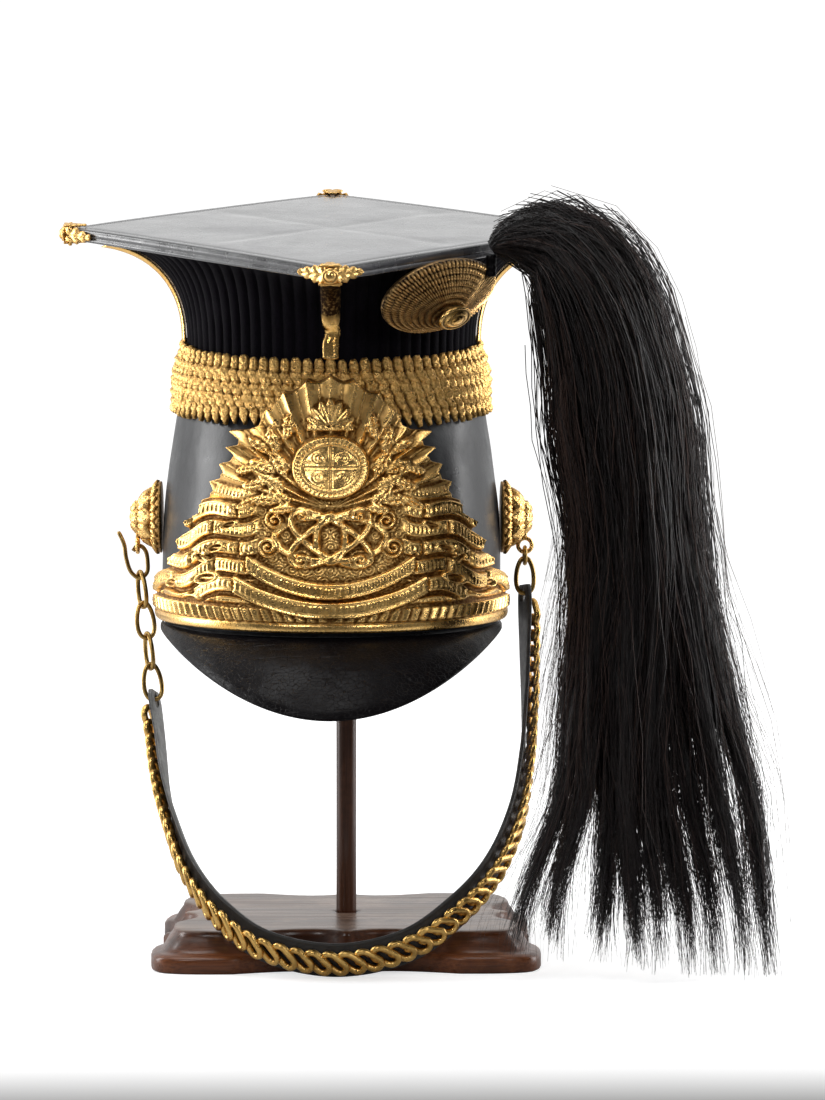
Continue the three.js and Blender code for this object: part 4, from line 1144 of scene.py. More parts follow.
class StrandTool(NodeTool):
    """Turns lines with a thickness at each point into thin strands."""

    def __init__(self) -> None:
        """Builds the tree."""
        super().__init__("spin_strands",
                         [("Thickness", "NodeSocketFloat"), ("Sides", "NodeSocketInt"),
                          ("Finish", "NodeSocketMaterial")])
        s = self.sketch
        lines = s.add("GeometryNodeMeshToCurve", {"Mesh": self.given.outputs["Geometry"]})
        size = s.math("MULTIPLY", self.attribute("thick", "FLOAT"), self.given.outputs["Thickness"])
        sized = s.add("GeometryNodeSetCurveRadius", {"Curve": lines.outputs[0], "Radius": size})
        section = s.add("GeometryNodeCurvePrimitiveCircle",
                        {"Resolution": self.given.outputs["Sides"], "Radius": 1.0})
        skin = s.add("GeometryNodeCurveToMesh",
                     {"Curve": sized.outputs[0], "Profile Curve": section.outputs[0], "Fill Caps": True})
        if "Scale" in skin.inputs:
            s.set(skin.inputs["Scale"], size)
        real = s.add("GeometryNodeRealizeInstances", {"Geometry": skin.outputs[0]})
        done = s.add("GeometryNodeSetMaterial",
                     {"Geometry": real.outputs[0], "Material": self.given.outputs["Finish"]})
        s.set(self.result.inputs[0], done.outputs[0])

    def spin(self, name: str, lines: Array, thick: Array, finish: bpy.types.Material,
             sides: int = 3) -> bpy.types.Object:
        """Makes strands.

        Args:
            name: the piece's name.
            lines: an array of strands, points and axes, in millimetres.
            thick: radius in millimetres for each strand and point.
            finish: the material.
            sides: faces round a strand.

        Returns:
            The piece, as one plain mesh.
        """
        count, steps, _ = lines.shape
        start = np.arange(count)[:, None] * steps + np.arange(steps - 1)[None]
        edges = np.stack((start, start + 1), axis=-1).reshape(-1, 2)
        mesh = bpy.data.meshes.new(name)
        mesh.from_pydata((lines.reshape(-1, 3) * MM).tolist(), edges.tolist(), [])
        layer = mesh.attributes.new("thick", "FLOAT", "POINT")
        layer.data.foreach_set("value", (thick * MM).astype(np.float32).ravel())
        carrier = bpy.data.objects.new(name, mesh)
        bpy.context.scene.collection.objects.link(carrier)
        return self.run(carrier, Thickness=1.0, Sides=sides, Finish=finish)


# The stand


@dataclass
class Stand:
    """The moulded wooden base and its rod."""

    width: float = 159.0
    depth: float = 150.0
    height: float = 18.0
    foot_spread: float = 10.0
    recess: float = 9.0
    lobe: float = 34.0
    rod_radius: float = 4.75
    socket_depth: float = 10.0
    socket_play: float = 0.5
    socket_bevel: float = 0.4
    rod_gap: float = 0.35
    rod_top: float = 266.9

    def side(self, half: float, other: float, per_side: int) -> list[tuple[float, float]]:
        """One bracket-shaped side of the outline, as places along it and distances out."""
        places = []
        for i in range(per_side):
            along = -half + 2 * half * (i + 0.5) / per_side
            inner = min(abs(along) / (half - self.lobe), 1)
            recess = self.recess * math.sin(math.pi * inner**0.75)
            end = min(max((abs(along) - (half - self.lobe)) / self.lobe, 0), 1)
            rounding = self.recess * 0.55
            places.append((along * (1 - rounding / half), other - recess - rounding * end**4))
        return places

    def ring(self, spread: float, z: float, per_side: int = 44) -> Array:
        """The base's outline at a height, spread outwards."""
        wide, deep = self.width / 2 + spread, self.depth / 2 + spread
        points = []
        for quarter in range(4):
            turn = quarter * math.pi / 2
            one, other = (wide, deep) if quarter % 2 == 0 else (deep, wide)
            for along, out in self.side(one, other, per_side):
                points.append((along * math.cos(turn) + out * math.sin(turn),
                               along * math.sin(turn) - out * math.cos(turn), z))
        return np.array(points)

    def build(self, finishes: Finishes) -> None:
        """Builds the base and the rod.

        Args:
            finishes: the materials.
        """
        # Each row of the moulding is a share of the height and a share of the foot's spread.
        moulding = ((0, 0.9), (0.02, 0.97), (0.06, 1), (0.34, 1), (0.38, 0.98), (0.41, 0.9), (0.44, 0.84),
                    (0.46, 0.7), (0.475, 0.56), (0.5, 0.5), (0.56, 0.42), (0.64, 0.33), (0.72, 0.25),
                    (0.8, 0.14), (0.86, 0.06), (0.9, 0.02), (0.965, 0.0), (1, -0.12))
        rings = [self.ring(self.foot_spread * out, self.height * up) for up, out in moulding]
        inward = np.array((1.0, 1.0, 0.0))
        top, floor = rings[-1] * inward, rings[0] * inward
        flat = [top * share + (0, 0, self.height) for share in (0.94, 0.7, 0.35, 0.1)]
        under = [floor * share for share in (0.2, 0.8)]
        turn = np.arctan2(top[:, 1], top[:, 0])
        socket, low = self.rod_radius + self.socket_play, self.height - self.socket_depth
        hole = [np.stack((np.cos(turn) * radius, np.sin(turn) * radius, np.full_like(turn, z)), -1)
                for radius, z in ((socket + self.socket_bevel, self.height), (socket, self.height - 0.5),
                                  (socket, low), (0.6, low))]
        plain, rubbed = len(under) + len(rings) - 1, len(flat) + 1
        worn = np.repeat((0.0, 1.0, 0.0), (plain, rubbed, len(hole)))[:, None] * np.ones(len(turn))
        base = Skin()
        base.rings(np.array(under + rings + flat + hole), hollow=worn)
        made = base.make("stand_board", finishes.wood)
        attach(made, "root")
        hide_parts("stand_base")
        rod = Skin()
        foot, r, top_end = low + self.rod_gap, self.rod_radius, self.rod_top
        profile = [(0.3, foot), (r * 0.9, foot), (r, foot + 0.8), (r, 60), (r, 120), (r, 180), (r, 240),
                   (r, top_end - 3), (r * 0.86, top_end - 1.4), (r * 0.55, top_end - 0.4), (0.3, top_end)]
        rod.rings(lathe_rings(profile, 40)[:, :, [1, 2, 0]])
        made = rod.make("rod_of_stand", finishes.rod)
        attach(made, "root")
        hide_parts("stand_rod")
        LOG.info("stand: %d rings in the base", len(rings))


# The leather and cloth body


@dataclass
class Skull:
    """The hollow leather skull, open at its rim."""

    wall: float = 3.0
    crown_rise: float = 4.0
    crown_gap: float = 0.2
    dent: float = 0.28
    dented_height: float = 112.0
    lining_stop: float = 12.0
    lip_drop: float = 0.25
    lip_inset: float = 0.7
    around: int = 160
    rows: int = 30

    def dents(self, angle: Array, height: float) -> Array:
        """How far the leather waves out at a height, fading out at the rim and the crown."""
        fade = math.sin(math.pi * min((height - FORM.rim) / self.dented_height, 1))
        return self.dent * smooth_noise(angle / 55, np.full_like(angle, height / 42), 5, 2) * fade

    def build(self, finishes: Finishes) -> None:
        """Builds the skull with its rolled rim, its crown and its lining."""
        angle = np.arange(self.around) * 360 / self.around
        heights = FORM.rim + FORM.skull_height * np.linspace(0, 1, self.rows)
        heights[-1] -= self.crown_gap
        outer = [FORM.spot(angle, h, self.dents(angle, h)) for h in heights]
        crown = FORM.on_slice(0.0, 0.0, FORM.joint - self.crown_gap)
        top = [crown + (outer[-1] - crown) * share for share in (0.985, 0.9, 0.6, 0.3, 0.02)]
        ceiling = FORM.joint - self.wall - self.crown_rise
        below = FORM.on_slice(0.0, 0.0, ceiling)
        last = FORM.spot(angle, ceiling, -self.wall - self.crown_rise)
        under = [below + (last - below) * share for share in (0.02, 0.4, 0.8)]
        lined = [h for h in heights[::-1] if h < FORM.joint - self.lining_stop]
        inner = [last] + [FORM.spot(angle, h, -self.wall) for h in lined]
        lip = [FORM.spot(angle, FORM.rim - self.lip_drop, grow)
               for grow in (-self.wall + self.lip_inset, -self.lip_inset)]
        skin = Skin()
        skin.rings(np.array(lip[1:] + outer + top + under + inner + lip[:1]), joined=True)
        made = skin.make("leather_skull", finishes.skull)
        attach(made, "root")
        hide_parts("skull")
        LOG.info("skull: %d points", skin.count)


@dataclass
class Peak:
    """The drooping leather peak at the front of the rim."""

    half_width: float = 77.0
    projection: float = 42.0
    drop: float = 32.0
    bulge: float = 4.0
    thickness: float = 2.5
    half_angle: float = 84.0
    stations: int = 96
    across: int = 18

    def build(self, finishes: Finishes) -> None:
        """Builds the peak with a rounded, bound edge."""
        side_of = np.linspace(-self.half_angle, self.half_angle, self.stations)
        sections = []
        for degrees in side_of:
            side, front = math.sin(math.radians(degrees)), math.cos(math.radians(degrees))
            start = FORM.spot(270 + degrees, FORM.rim, 0.7).ravel()
            spare = FORM.half_width + 1.05 - self.half_width
            edge = np.array(((self.half_width + spare * (1 - front)) * side + FORM.middle,
                             start[1] - self.projection * front**1.2 - self.thickness,
                             start[2] - self.drop * front**2 - self.thickness / 2))
            share = np.linspace(0, 1, self.across)
            line = start + (edge - start) * share[:, None]
            line[:, 2] += self.bulge * np.sin(math.pi * share) * front
            half = (self.thickness / 2 * (1 - 0.55 * ramp(share, 0.97, 1.0))
                    * (1 - 0.4 * ramp(1 - share, 0.97, 1.0)))
            bead = 0.35 * ridge(share - 0.955, 0.02)
            upper, lower = line.copy(), line.copy()
            upper[:, 2] += half + bead
            lower[:, 2] -= half
            sections.append(np.vstack((upper, lower[::-1])))
        skin = Skin()
        skin.rings(np.array(sections))
        made = skin.make("leather_peak", finishes.peak)
        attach(made, "root")
        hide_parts("peak")
        LOG.info("peak: %d points", skin.count)


@dataclass
class ClothTop:
    """The flared cloth wall between the waist and the board, gathered in upright ribs."""

    ribs_per_face: int = 19
    per_rib: int = 8
    rib_depth: float = 1.25
    wall: float = 2.5
    rows: int = 40

    def build(self, finishes: Finishes) -> None:
        """Builds the ribbed wall and its smooth inner side."""
        count = 4 * self.ribs_per_face * self.per_rib
        angle = np.arange(count) * 360 / count
        rib = np.abs(np.sin(angle / 90 * self.ribs_per_face * math.pi))
        low, high = FORM.joint + 0.2, FORM.board_height - 0.4
        heights = low + (high - low) * (1 - (1 - np.linspace(0, 1, self.rows)) ** 1.7)
        outer, depths = [], []
        for h in heights:
            uneven = 1 + 0.3 * smooth_noise(angle / 30, np.full_like(angle, h / 30), 8, 2)
            outer.append(FORM.spot(angle, h, 0.25 - self.rib_depth * uneven * (1 - rib**0.62)))
            # Groove depths, which the cloth's finish paints darker as shade.
            depths.append(1 - rib**0.55)
        inner = [FORM.spot(angle, h, -self.wall) for h in heights[::-3]]
        inner.append(FORM.spot(angle, low, -self.wall))
        skin = Skin()
        skin.rings(np.array(outer + inner), hollow=np.array(depths + [np.ones(count)] * len(inner)),
                   joined=True)
        made = skin.make("ribbed_top", finishes.cloth)
        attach(made, "root")
        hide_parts("cloth_top")
        LOG.info("cloth top: %d ribs a face", self.ribs_per_face)


@dataclass
class Board:
    """The square leather board, its corners at front, back and sides."""

    thickness: float = 6.5
    droop: float = 0.8
    corner: float = 3.0
    per_side: int = 48
    emboss: float = 0.38
    cross_depth: float = 0.35
    edge_paleness: tuple[float, float, float, float] = (0.5, 0.5, 0.22, 1.0)

    def ring(self, inset: float, z: float) -> Array:
        """The board's outline at an inset, in its own frame."""
        reach = FORM.board_reach - inset * math.sqrt(2)
        trim = self.corner / math.sqrt(2)
        share = np.arange(self.per_side) / (self.per_side - 1)
        points = []
        for quarter in range(4):
            along = trim / reach + (1 - 2 * trim / reach) * share if reach > trim * 2 else share
            a, b = quarter * math.pi / 2, (quarter + 1) * math.pi / 2
            x = reach * (math.cos(a) * (1 - along) + math.cos(b) * along)
            y = reach * (math.sin(a) * (1 - along) + math.sin(b) * along)
            fall = self.droop * (np.hypot(x, y) / FORM.board_reach) ** 6
            points.append(np.stack((x, y, z - fall * z / self.thickness), -1))
        return np.concatenate(points)

    def build(self, finishes: Finishes) -> None:
        """Builds the board with its rounded edges, its edge seam and its faintly raised cross."""
        top = self.thickness
        # Each row is an inset from the board's side and a height above its underside.
        edge_rows = [(FORM.board_side / 2 - 20, 0), (1.2, 0), (0.5, 0.15), (0.12, 0.6), (0, 1.3), (0, 2.4),
                     (0.35, 2.7), (0, 3.0), (0, top - 1.4), (0.15, top - 0.7), (0.5, top - 0.2), (1.3, top),
                     (2.6, top + 0.05), (4.0, top + 0.05), (4.6, top - 0.25), (5.2, top)]
        rows = edge_rows + [(inset, top) for inset in (9, 15, 22, 30, 38, 47, 57, 67, 77, 84)]
        rings, edge = [], []
        for inset, z in rows:
            ring = self.ring(inset, z)
            on_edge = 0.5 < z < 2.5 or 2.9 < z < top - 1.2
            # The board's side faces turn a paler grey, by a share for each edge: front-right most, left-front
            # least.
            edge.append(np.repeat(self.edge_paleness, self.per_side) * on_edge)
            if inset >= 9:
                x, y = ring[:, 0] / 60, ring[:, 1] / 60
                wave = self.emboss * smooth_noise(x, y, 21, 2)
                u, v = (ring[:, 0] + ring[:, 1]) / math.sqrt(2), (ring[:, 1] - ring[:, 0]) / math.sqrt(2)
                cross = -self.cross_depth * (np.exp(-(u / 5) ** 2) + np.exp(-(v / 5) ** 2))
                ring[:, 2] = np.minimum(ring[:, 2] + (wave + cross) * ramp(inset, 5, 16), top)
            rings.append(FORM.on_board(ring[:, 0], ring[:, 1], ring[:, 2]))
        skin = Skin()
        skin.rings(np.array(rings), hollow=np.array(edge))
        made = skin.make("leather_board", finishes.board)
        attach(made, "root")
        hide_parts("board")
        LOG.info("board: %d points", skin.count)


# The gilt fittings


def small_leaf(length: float, half: float, lift: float, lobes: int = 3, rows: int = 9, cols: int = 7,
               tip: float = 0.25) -> Skin:
    """A small cast leaf, its stem at -X, its tip at +X and its face to +Z.

    Args:
        length: from stem to tip.
        half: half of its width.
        lift: height of its relief.
        lobes: how many lobes each side has.
        rows: points along it.
        cols: points across it.
        tip: width share left at the tip.

    Returns:
        The leaf as one closed body.
    """
    u = np.linspace(0, 1, rows)[:, None]
    w = np.linspace(-1, 1, cols)[None]
    swell = np.sin(math.pi * np.clip(u * 0.86 + 0.12, 0, 1)) ** 0.6 * (1 - (1 - tip) * ramp(u, 0.55, 1.02))
    lobe = 1 - 0.16 * np.abs(np.cos(math.pi * lobes * u))
    x = (u - 0.5) * length + 0 * w
    y = w * half * swell * lobe
    z = lift * (ridge(w, 1.02) * (0.35 + 0.65 * np.sin(math.pi * np.clip(u * 0.8 + 0.2, 0, 1)))
                - 0.3 * np.exp(-(w / 0.16) ** 2)
                + 0.22 * np.abs(np.sin(math.pi * lobes * u)) * np.abs(w))
    skin = Skin()
    skin.slab(np.stack(np.broadcast_arrays(x, y, z), -1),
              np.stack(np.broadcast_arrays(x, y, z * 0 - 0.5), -1),
              np.clip(1.05 - z / lift * 1.3, 0, 1) * np.ones_like(x))
    return skin


@dataclass(frozen=True)
class BandRow:
    """One row of the waist band: its leaf's form, and its place, lean and seed."""

    name: str
    length: float
    half: float
    lift: float
    cords: int
    point: float
    up: float
    sunk: float
    lean: float
    shift: float
    seed: int


BAND_ROWS = (
    BandRow("band_fingers", 7.5, 2.5, 2.2, 2, 0.0, up=0.96, sunk=0.4, lean=6, shift=0.0, seed=3),
    BandRow("band_upper_leaves", 9.4, 2.9, 3.1, 2, 0.25, up=0.72, sunk=0.2, lean=36, shift=0.25, seed=4),
    BandRow("band_middle_leaves", 9.4, 2.9, 3.2, 2, 0.25, up=0.5, sunk=0.1, lean=36, shift=0.6, seed=7),
    BandRow("band_lower_leaves", 9.4, 2.9, 3.0, 2, 0.25, up=0.29, sunk=0.2, lean=32, shift=0.0, seed=5),
    BandRow("band_drops", 10.5, 2.7, 2.2, 3, 0.6, up=0.07, sunk=0.2, lean=10, shift=0.5, seed=6),
)


@dataclass
class WaistBand:
    """The gilt band round the waist: fingers above, three rows of leaves, and drops below."""

    bottom: float = 261.0
    height: float = 27.0
    backing: float = 1.5
    fingers: int = 84
    stands: float = 0.7
    spread: float = 0.12
    around: int = 240

    def backing_strip(self, finishes: Finishes) -> None:
        """The plain strip behind the leaves."""
        angle = np.arange(self.around) * 360 / self.around
        rows = [(0.06, self.stands), (0.06, self.stands + 0.9), (0.3, self.stands + self.backing),
                (0.7, self.stands + self.backing),
                (0.93, self.stands + 0.9), (0.93, self.stands), (0.5, self.stands)]
        skin = Skin()
        # The whole strip gets recess value 0.9: painted shade behind the leaves.
        skin.rings(np.array([FORM.spot(angle, self.bottom + self.height * up, out) for up, out in rows]),
                   hollow=np.full((len(rows), self.around), 0.9), joined=True)
        made = skin.make("band_backing", finishes.band)
        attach(made, "root")
        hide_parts("waist_band")

    def row(self, tool: CopyTool, row: BandRow, leaf: Skin, out: float, finish: bpy.types.Material) -> None:
        """One row of leaves round the waist.

        Args:
            tool: what sets the copies.
            row: the row's name, place and lean.
            leaf: the leaf's form.
            out: how far outside the outline the row lies.
            finish: the material.
        """
        angle = ((np.arange(self.fingers) + row.shift) * 360 / self.fingers) % 360
        height = self.bottom + self.height * row.up
        at, facing = FORM.spot(angle, height, out), FORM.facing(angle, height, out)
        rise = unit(FORM.spot(angle, height + 0.5, out) - FORM.spot(angle, height - 0.5, out))
        aside = np.cross(facing, rise)
        turn = math.radians(row.lean)
        rise = rise * math.cos(turn) + aside * math.sin(turn)
        made = tool.place(row.name, leaf, at, facing, rise, finish, 1.0, self.spread, row.seed)
        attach(made, "root")

    def beaded(self, length: float, half: float, lift: float, steps: int, point: float) -> Skin:
        """A corded leaf: stepped across like a row of beads, narrowing to one end."""
        u = np.linspace(0, 1, steps * 4 + 1)[:, None]
        w = np.linspace(-1, 1, 7)[None]
        width = (half * np.sin(math.pi * np.clip(0.1 + 0.8 * u, 0, 1)) ** 0.5
                 * (1 - point * ramp(u, 0.4, 1.0)) * (0.9 + 0.1 * np.abs(np.sin(math.pi * steps * u))))
        cords = 0.55 + 0.45 * np.abs(np.sin(math.pi * (steps * u + 0.35 * w)))
        grooves = 1 - 0.45 * np.exp(-((np.abs(w) - 0.42) / 0.13) ** 2)
        z = lift * ridge(w, 1.04) * cords * grooves
        skin = Skin()
        x = (0.5 - u) * length + 0 * w
        skin.slab(np.stack(np.broadcast_arrays(x, w * width, z), -1),
                  np.stack(np.broadcast_arrays(x, w * width, z * 0 - 0.8), -1),
                  np.clip(1.1 - z / lift * 1.5, 0, 1))
        return skin

    def build(self, finishes: Finishes, tool: CopyTool) -> None:
        """Builds the strip and its four rows.

        Args:
            finishes: the materials.
            tool: what sets the copies.
        """
        self.backing_strip(finishes)
        out = self.stands + self.backing - 0.2
        for row in BAND_ROWS:
            leaf = self.beaded(row.length, row.half, row.lift, row.cords, row.point)
            self.row(tool, row, leaf, out - row.sunk, finishes.band)
        LOG.info("waist band: %d fingers", self.fingers)


@dataclass
class FrontPlate:
    """The gilt plate on the skull's front, its relief a plain design of bands, leaves, an oval and rays."""

    foot: float = 3.0
    height: float = 123.0
    stand_off: float = 1.6
    thickness: float = 1.4
    over_band: float = 4.1
    rows: int = 268
    cols: int = 300
    back_cols: int = 16
    ray_pitch: float = 10.6
    oval_height: float = 80.5
    knot_height: float = 46.0
    # Each row is a share of the plate's height and the half angle that it spans there.
    edge_table: tuple[tuple[float, float], ...] = (
        (0, 86), (0.03, 89), (0.1, 83), (0.14, 75), (0.18, 73), (0.22, 63), (0.254, 63), (0.295, 56),
        (0.333, 57.5), (0.372, 51.5),
        (0.41, 53.5), (0.45, 47), (0.50, 47), (0.515, 43.0), (0.545, 41.5), (0.578, 44), (0.592, 39.5),
        (0.622, 38), (0.653, 40.5), (0.667, 36),
        (0.695, 34), (0.728, 37.5), (0.742, 32.5), (0.772, 31), (0.812, 35), (0.826, 27.5), (0.85, 24.5),
        (0.9, 23.5), (1, 22))

    def lift(self, up: Array) -> Array:
        """How far the plate's back stands off the cap, more where it passes over the band."""
        return self.stand_off + self.over_band * ramp(up, 0.68, 0.79)

    def ribbon(self, s: Array, v: Array, centre: Array, half: float, tick: float) -> Array:
        """A raised ribbon with rims and a row of ticks along it.

        Args:
            s: place across the plate.
            v: height on the plate.
            centre: the ribbon's middle height at each place.
            half: half of its width.
            tick: spacing of the ticks.

        Returns:
            Relief in millimetres.
        """
        d = (v - centre) / half
        flat = 1.15 * (1 - ramp(np.abs(d), 0.86, 1.02))
        rims = 0.65 * np.exp(-((np.abs(d) - 0.78) / 0.1) ** 2)
        ticks = 0.5 * ridge(((s / tick) % 1 - 0.5), 0.3) * (np.abs(d) < 0.46)
        return (flat + rims * (flat > 0.3) + ticks * (flat > 0.6)) * (np.abs(d) < 1.05)

    def side_bands(self, s: Array, v: Array) -> Array:
        """Stacked, waving bands on both sides, falling outwards, with folded ends."""
        a = np.abs(s)
        w = v + 0.24 * (a - 38) + 2.3 * np.sin((a - 26) / 6.4 + 0.5 * np.sin(v / 13.0))
        pitch = 9.4
        index = np.floor(w / pitch)
        local = (w / pitch - index - 0.5) * 2
        rolling = 0.74 + 0.26 * np.cos((a - 33) / 5.2 + index * 1.7)
        flat = 2.3 * (1 - ramp(np.abs(local), 0.66, 0.86)) * rolling + 0.5 * ridge(local, 0.9)
        rims = 0.6 * np.exp(-((np.abs(local) - 0.6) / 0.09) ** 2)
        beads = 0.55 * ridge((a / 2.7 + index * 0.37) % 1 - 0.5, 0.34) * ridge(local, 0.4) * (index % 2 == 0)
        ticks = 0.5 * ridge((a / 2.1) % 1 - 0.5, 0.27) * (np.abs(local) < 0.38) * (index % 2 == 1)
        folds = 1.9 * np.exp(-(((a + index * 13) % 27 - 13) / 1.1) ** 2)
        total = flat + rims + beads + ticks - folds * (flat > 0.8)
        # Each ring has a place across, a height, half its length and a tilt.
        rings = ((59, 24.5, 6.4, -14), (71, 12.5, 7.2, -12), (54, 39.5, 4.8, -18), (47, 51, 4.2, -20),
                 (62, 34, 4.4, 20), (84, 20, 5.0, -10))
        for x, y, long_half, tilt in rings:
            c, d = math.cos(math.radians(tilt)), math.sin(math.radians(tilt))
            along = ((a - x) * c + (v - y) * d) / long_half
            across = (-(a - x) * d + (v - y) * c) / (long_half * 0.36)
            r = np.hypot(along, across)
            inside = 0.9 * ridge(across - 0.25 * np.sin(along * 3), 0.4) * (r < 0.85)
            total = np.where(r < 1.25, 0.35 + 2.3 * ridge(r - 1.02, 0.24) + inside, total)
        return total

    def braid(self, s: Array, v: Array) -> Array:
        """Interlaced loops and curled tendrils under the shield."""
        relief = np.zeros_like(s)
        a = np.abs(s)
        turn = np.arctan2(v - self.knot_height, s)
        # Each loop has a tilt, half a width and half a height.
        loops = ((34, 20.0, 8.2), (-34, 20.0, 8.2), (0, 24.5, 10.8), (90, 11.5, 6.2))
        for k, (tilt, wide, high) in enumerate(loops):
            c, d = math.cos(math.radians(tilt)), math.sin(math.radians(tilt))
            x, y = s * c + (v - self.knot_height) * d, -s * d + (v - self.knot_height) * c
            round_turn = np.arctan2(y / high, x / wide)
            radius = wide * high / np.hypot(wide * np.sin(round_turn), high * np.cos(round_turn))
            near = (np.hypot(x / wide, y / high) - 1) * radius
            over = 0.5 + 0.5 * np.cos(turn * 4 + k * 1.9)
            cord = ridge(near, 1.75)
            relief = np.maximum(relief, (2.4 + 1.3 * over) * cord - 0.5 * np.exp(-(near / 0.3) ** 2)
                                * (cord > 0.3))
        for x, y, reach, handed in ((24.5, 54.5, 6.2, 1), (27.5, 41.5, 5.4, -1), (12.5, 57, 4.4, -1),
                                    (13.0, 35.5, 4.6, 1)):
            r = np.hypot(a - x, v - y)
            coil = (r / 2.75 - handed * np.arctan2(v - y, a - x) / (2 * math.pi)) % 1 - 0.5
            curl = (1.2 + 2.2 * ramp(reach - r, 0, reach)) * ridge(coil, 0.36)
            relief = np.where(r < reach, np.maximum(relief * 0.5, curl), relief)
        return relief

    def tendrils(self, s: Array, v: Array) -> Array:
        """A fine ground of small curled tendrils, mirrored from side to side."""
        a = np.abs(s)
        cell = 5.6
        row = np.floor(v / cell)
        x, y = ((a + 0.5 * cell * (row % 2)) / cell % 1 - 0.5) * cell, (v / cell % 1 - 0.5) * cell
        r, turn = np.hypot(x, y), np.arctan2(y, x)
        coil = (r / 1.5 - turn / (2 * math.pi) * np.where(row % 2 == 0, 1, -1)) % 1 - 0.5
        return 0.75 * ridge(coil, 0.34)

    def leaves(self, s: Array, v: Array) -> Array:
        """Sprays of curled leaves on each side of the shield."""
        relief = np.zeros_like(s)
        a = np.abs(s)
        # Each leaf has a place across, a height, a turn in degrees, a length and half a width.
        sprays = ((23, 66, 60, 15, 4.4), (27, 73, 40, 15, 4.4), (30, 64, 20, 14, 4.0), (24, 82, 70, 16, 4.6),
                  (32, 80, 35, 14, 4.2), (26, 93, 95, 15, 4.4), (35, 71, 5, 12, 3.6), (19, 100, 115, 13, 4.0),
                  (33, 90, 55, 12, 3.6), (40, 78, 10, 10, 3.2), (38, 62, -10, 12, 3.4), (21, 60, 10, 12, 3.6))
        for k, (x, y, turn, length, half) in enumerate(sprays):
            c, d = math.cos(math.radians(turn)), math.sin(math.radians(turn))
            along, across = (a - x) * c + (v - y) * d, -(a - x) * d + (v - y) * c
            across = across + 1.4 * np.sin(along / length * 3.1)
            t = along / length + 0.5
            width = half * np.sin(math.pi * np.clip(t, 0, 1)) ** 0.7 * (1 - 0.22 * np.abs(np.sin(t * 15)))
            inside = (t > 0) & (t < 1) & (np.abs(across) < width)
            body = (2.9 + 0.14 * k) * np.sqrt(np.clip(1 - (across / np.maximum(width, 0.1)) ** 2, 0, 1))
            vein = 1.1 * np.exp(-(across / 0.45) ** 2) + 0.8 * np.abs(np.sin(t * 15 + np.abs(across)))
            relief = np.where(inside, np.maximum(relief, body - vein), relief)
        return relief

    def shield(self, s: Array, v: Array) -> Array:
        """An oval boss with a beaded rim and plain quarters."""
        x, y = s / 17.5, (v - self.oval_height) / 15.5
        r = np.hypot(x, y)
        turn = np.arctan2(y, x)
        dome = 2.2 * np.sqrt(np.clip(1 - (r / 1.02) ** 2, 0, 1)) + 1.2 * (r < 1.0)
        rim = 1.5 * np.exp(-((r - 0.93) / 0.06) ** 2) + 1.0 * np.exp(-((r - 0.74) / 0.035) ** 2)
        beads = 0.7 * ridge((turn / (2 * math.pi) * 44) % 1 - 0.5, 0.4) * np.exp(-((r - 0.84) / 0.05) ** 2)
        quarters = (-0.7 * np.exp(-(x / 0.03) ** 2) - 0.7 * np.exp(-(y / 0.03) ** 2)) * (r < 0.68)
        aside = np.hypot(np.abs(x) - 0.3, np.abs(y) - 0.3)
        sprig = 0.6 * ridge(aside - 0.12, 0.06) + 0.5 * ridge(aside, 0.07)
        return np.where(r < 1.04, np.maximum(dome, 0.4) + rim + beads + quarters + sprig * (r < 0.66), 0)

    def palmette(self, s: Array, v: Array) -> Array:
        """A fan of lobes over a pearled bar, above the shield."""
        y = v - 99.0
        notches = 0.75 + 0.25 * ridge((s / 2.6) % 1 - 0.5, 0.45)
        bar = 2.2 * ridge(y - 0.5, 1.7) * (np.abs(s) < 10.5) * notches
        relief = bar
        for turn in (-64, -40, -19, 0, 19, 40, 64):
            c, d = math.cos(math.radians(turn)), math.sin(math.radians(turn))
            along, across = y * c + s * d, s * c - y * d
            t = along / (14.5 - abs(turn) * 0.045)
            width = 0.7 + 2.0 * np.sin(math.pi * np.clip(t, 0, 1) ** 1.6)
            lobe = ((1.6 + 1.2 * np.clip(t, 0, 1)) * np.sqrt(np.clip(1 - (across / width) ** 2, 0, 1))
                    * ((t > 0.1) & (t < 1)))
            relief = np.maximum(relief, lobe - 0.5 * np.exp(-(across / 0.35) ** 2) * (lobe > 0.5))
        return relief

    def flutes(self, s: Array, v: Array) -> Array:
        """Rays that spread from behind the shield to the upper edge."""
        turn = np.arctan2(s, v - 60.0)
        ray = np.abs(((turn / math.radians(self.ray_pitch)) + 0.5) % 1 - 0.5) * 2
        return 0.3 + 2.5 * (1 - ray) ** 1.7 + 0.5 * (ray > 0.9)

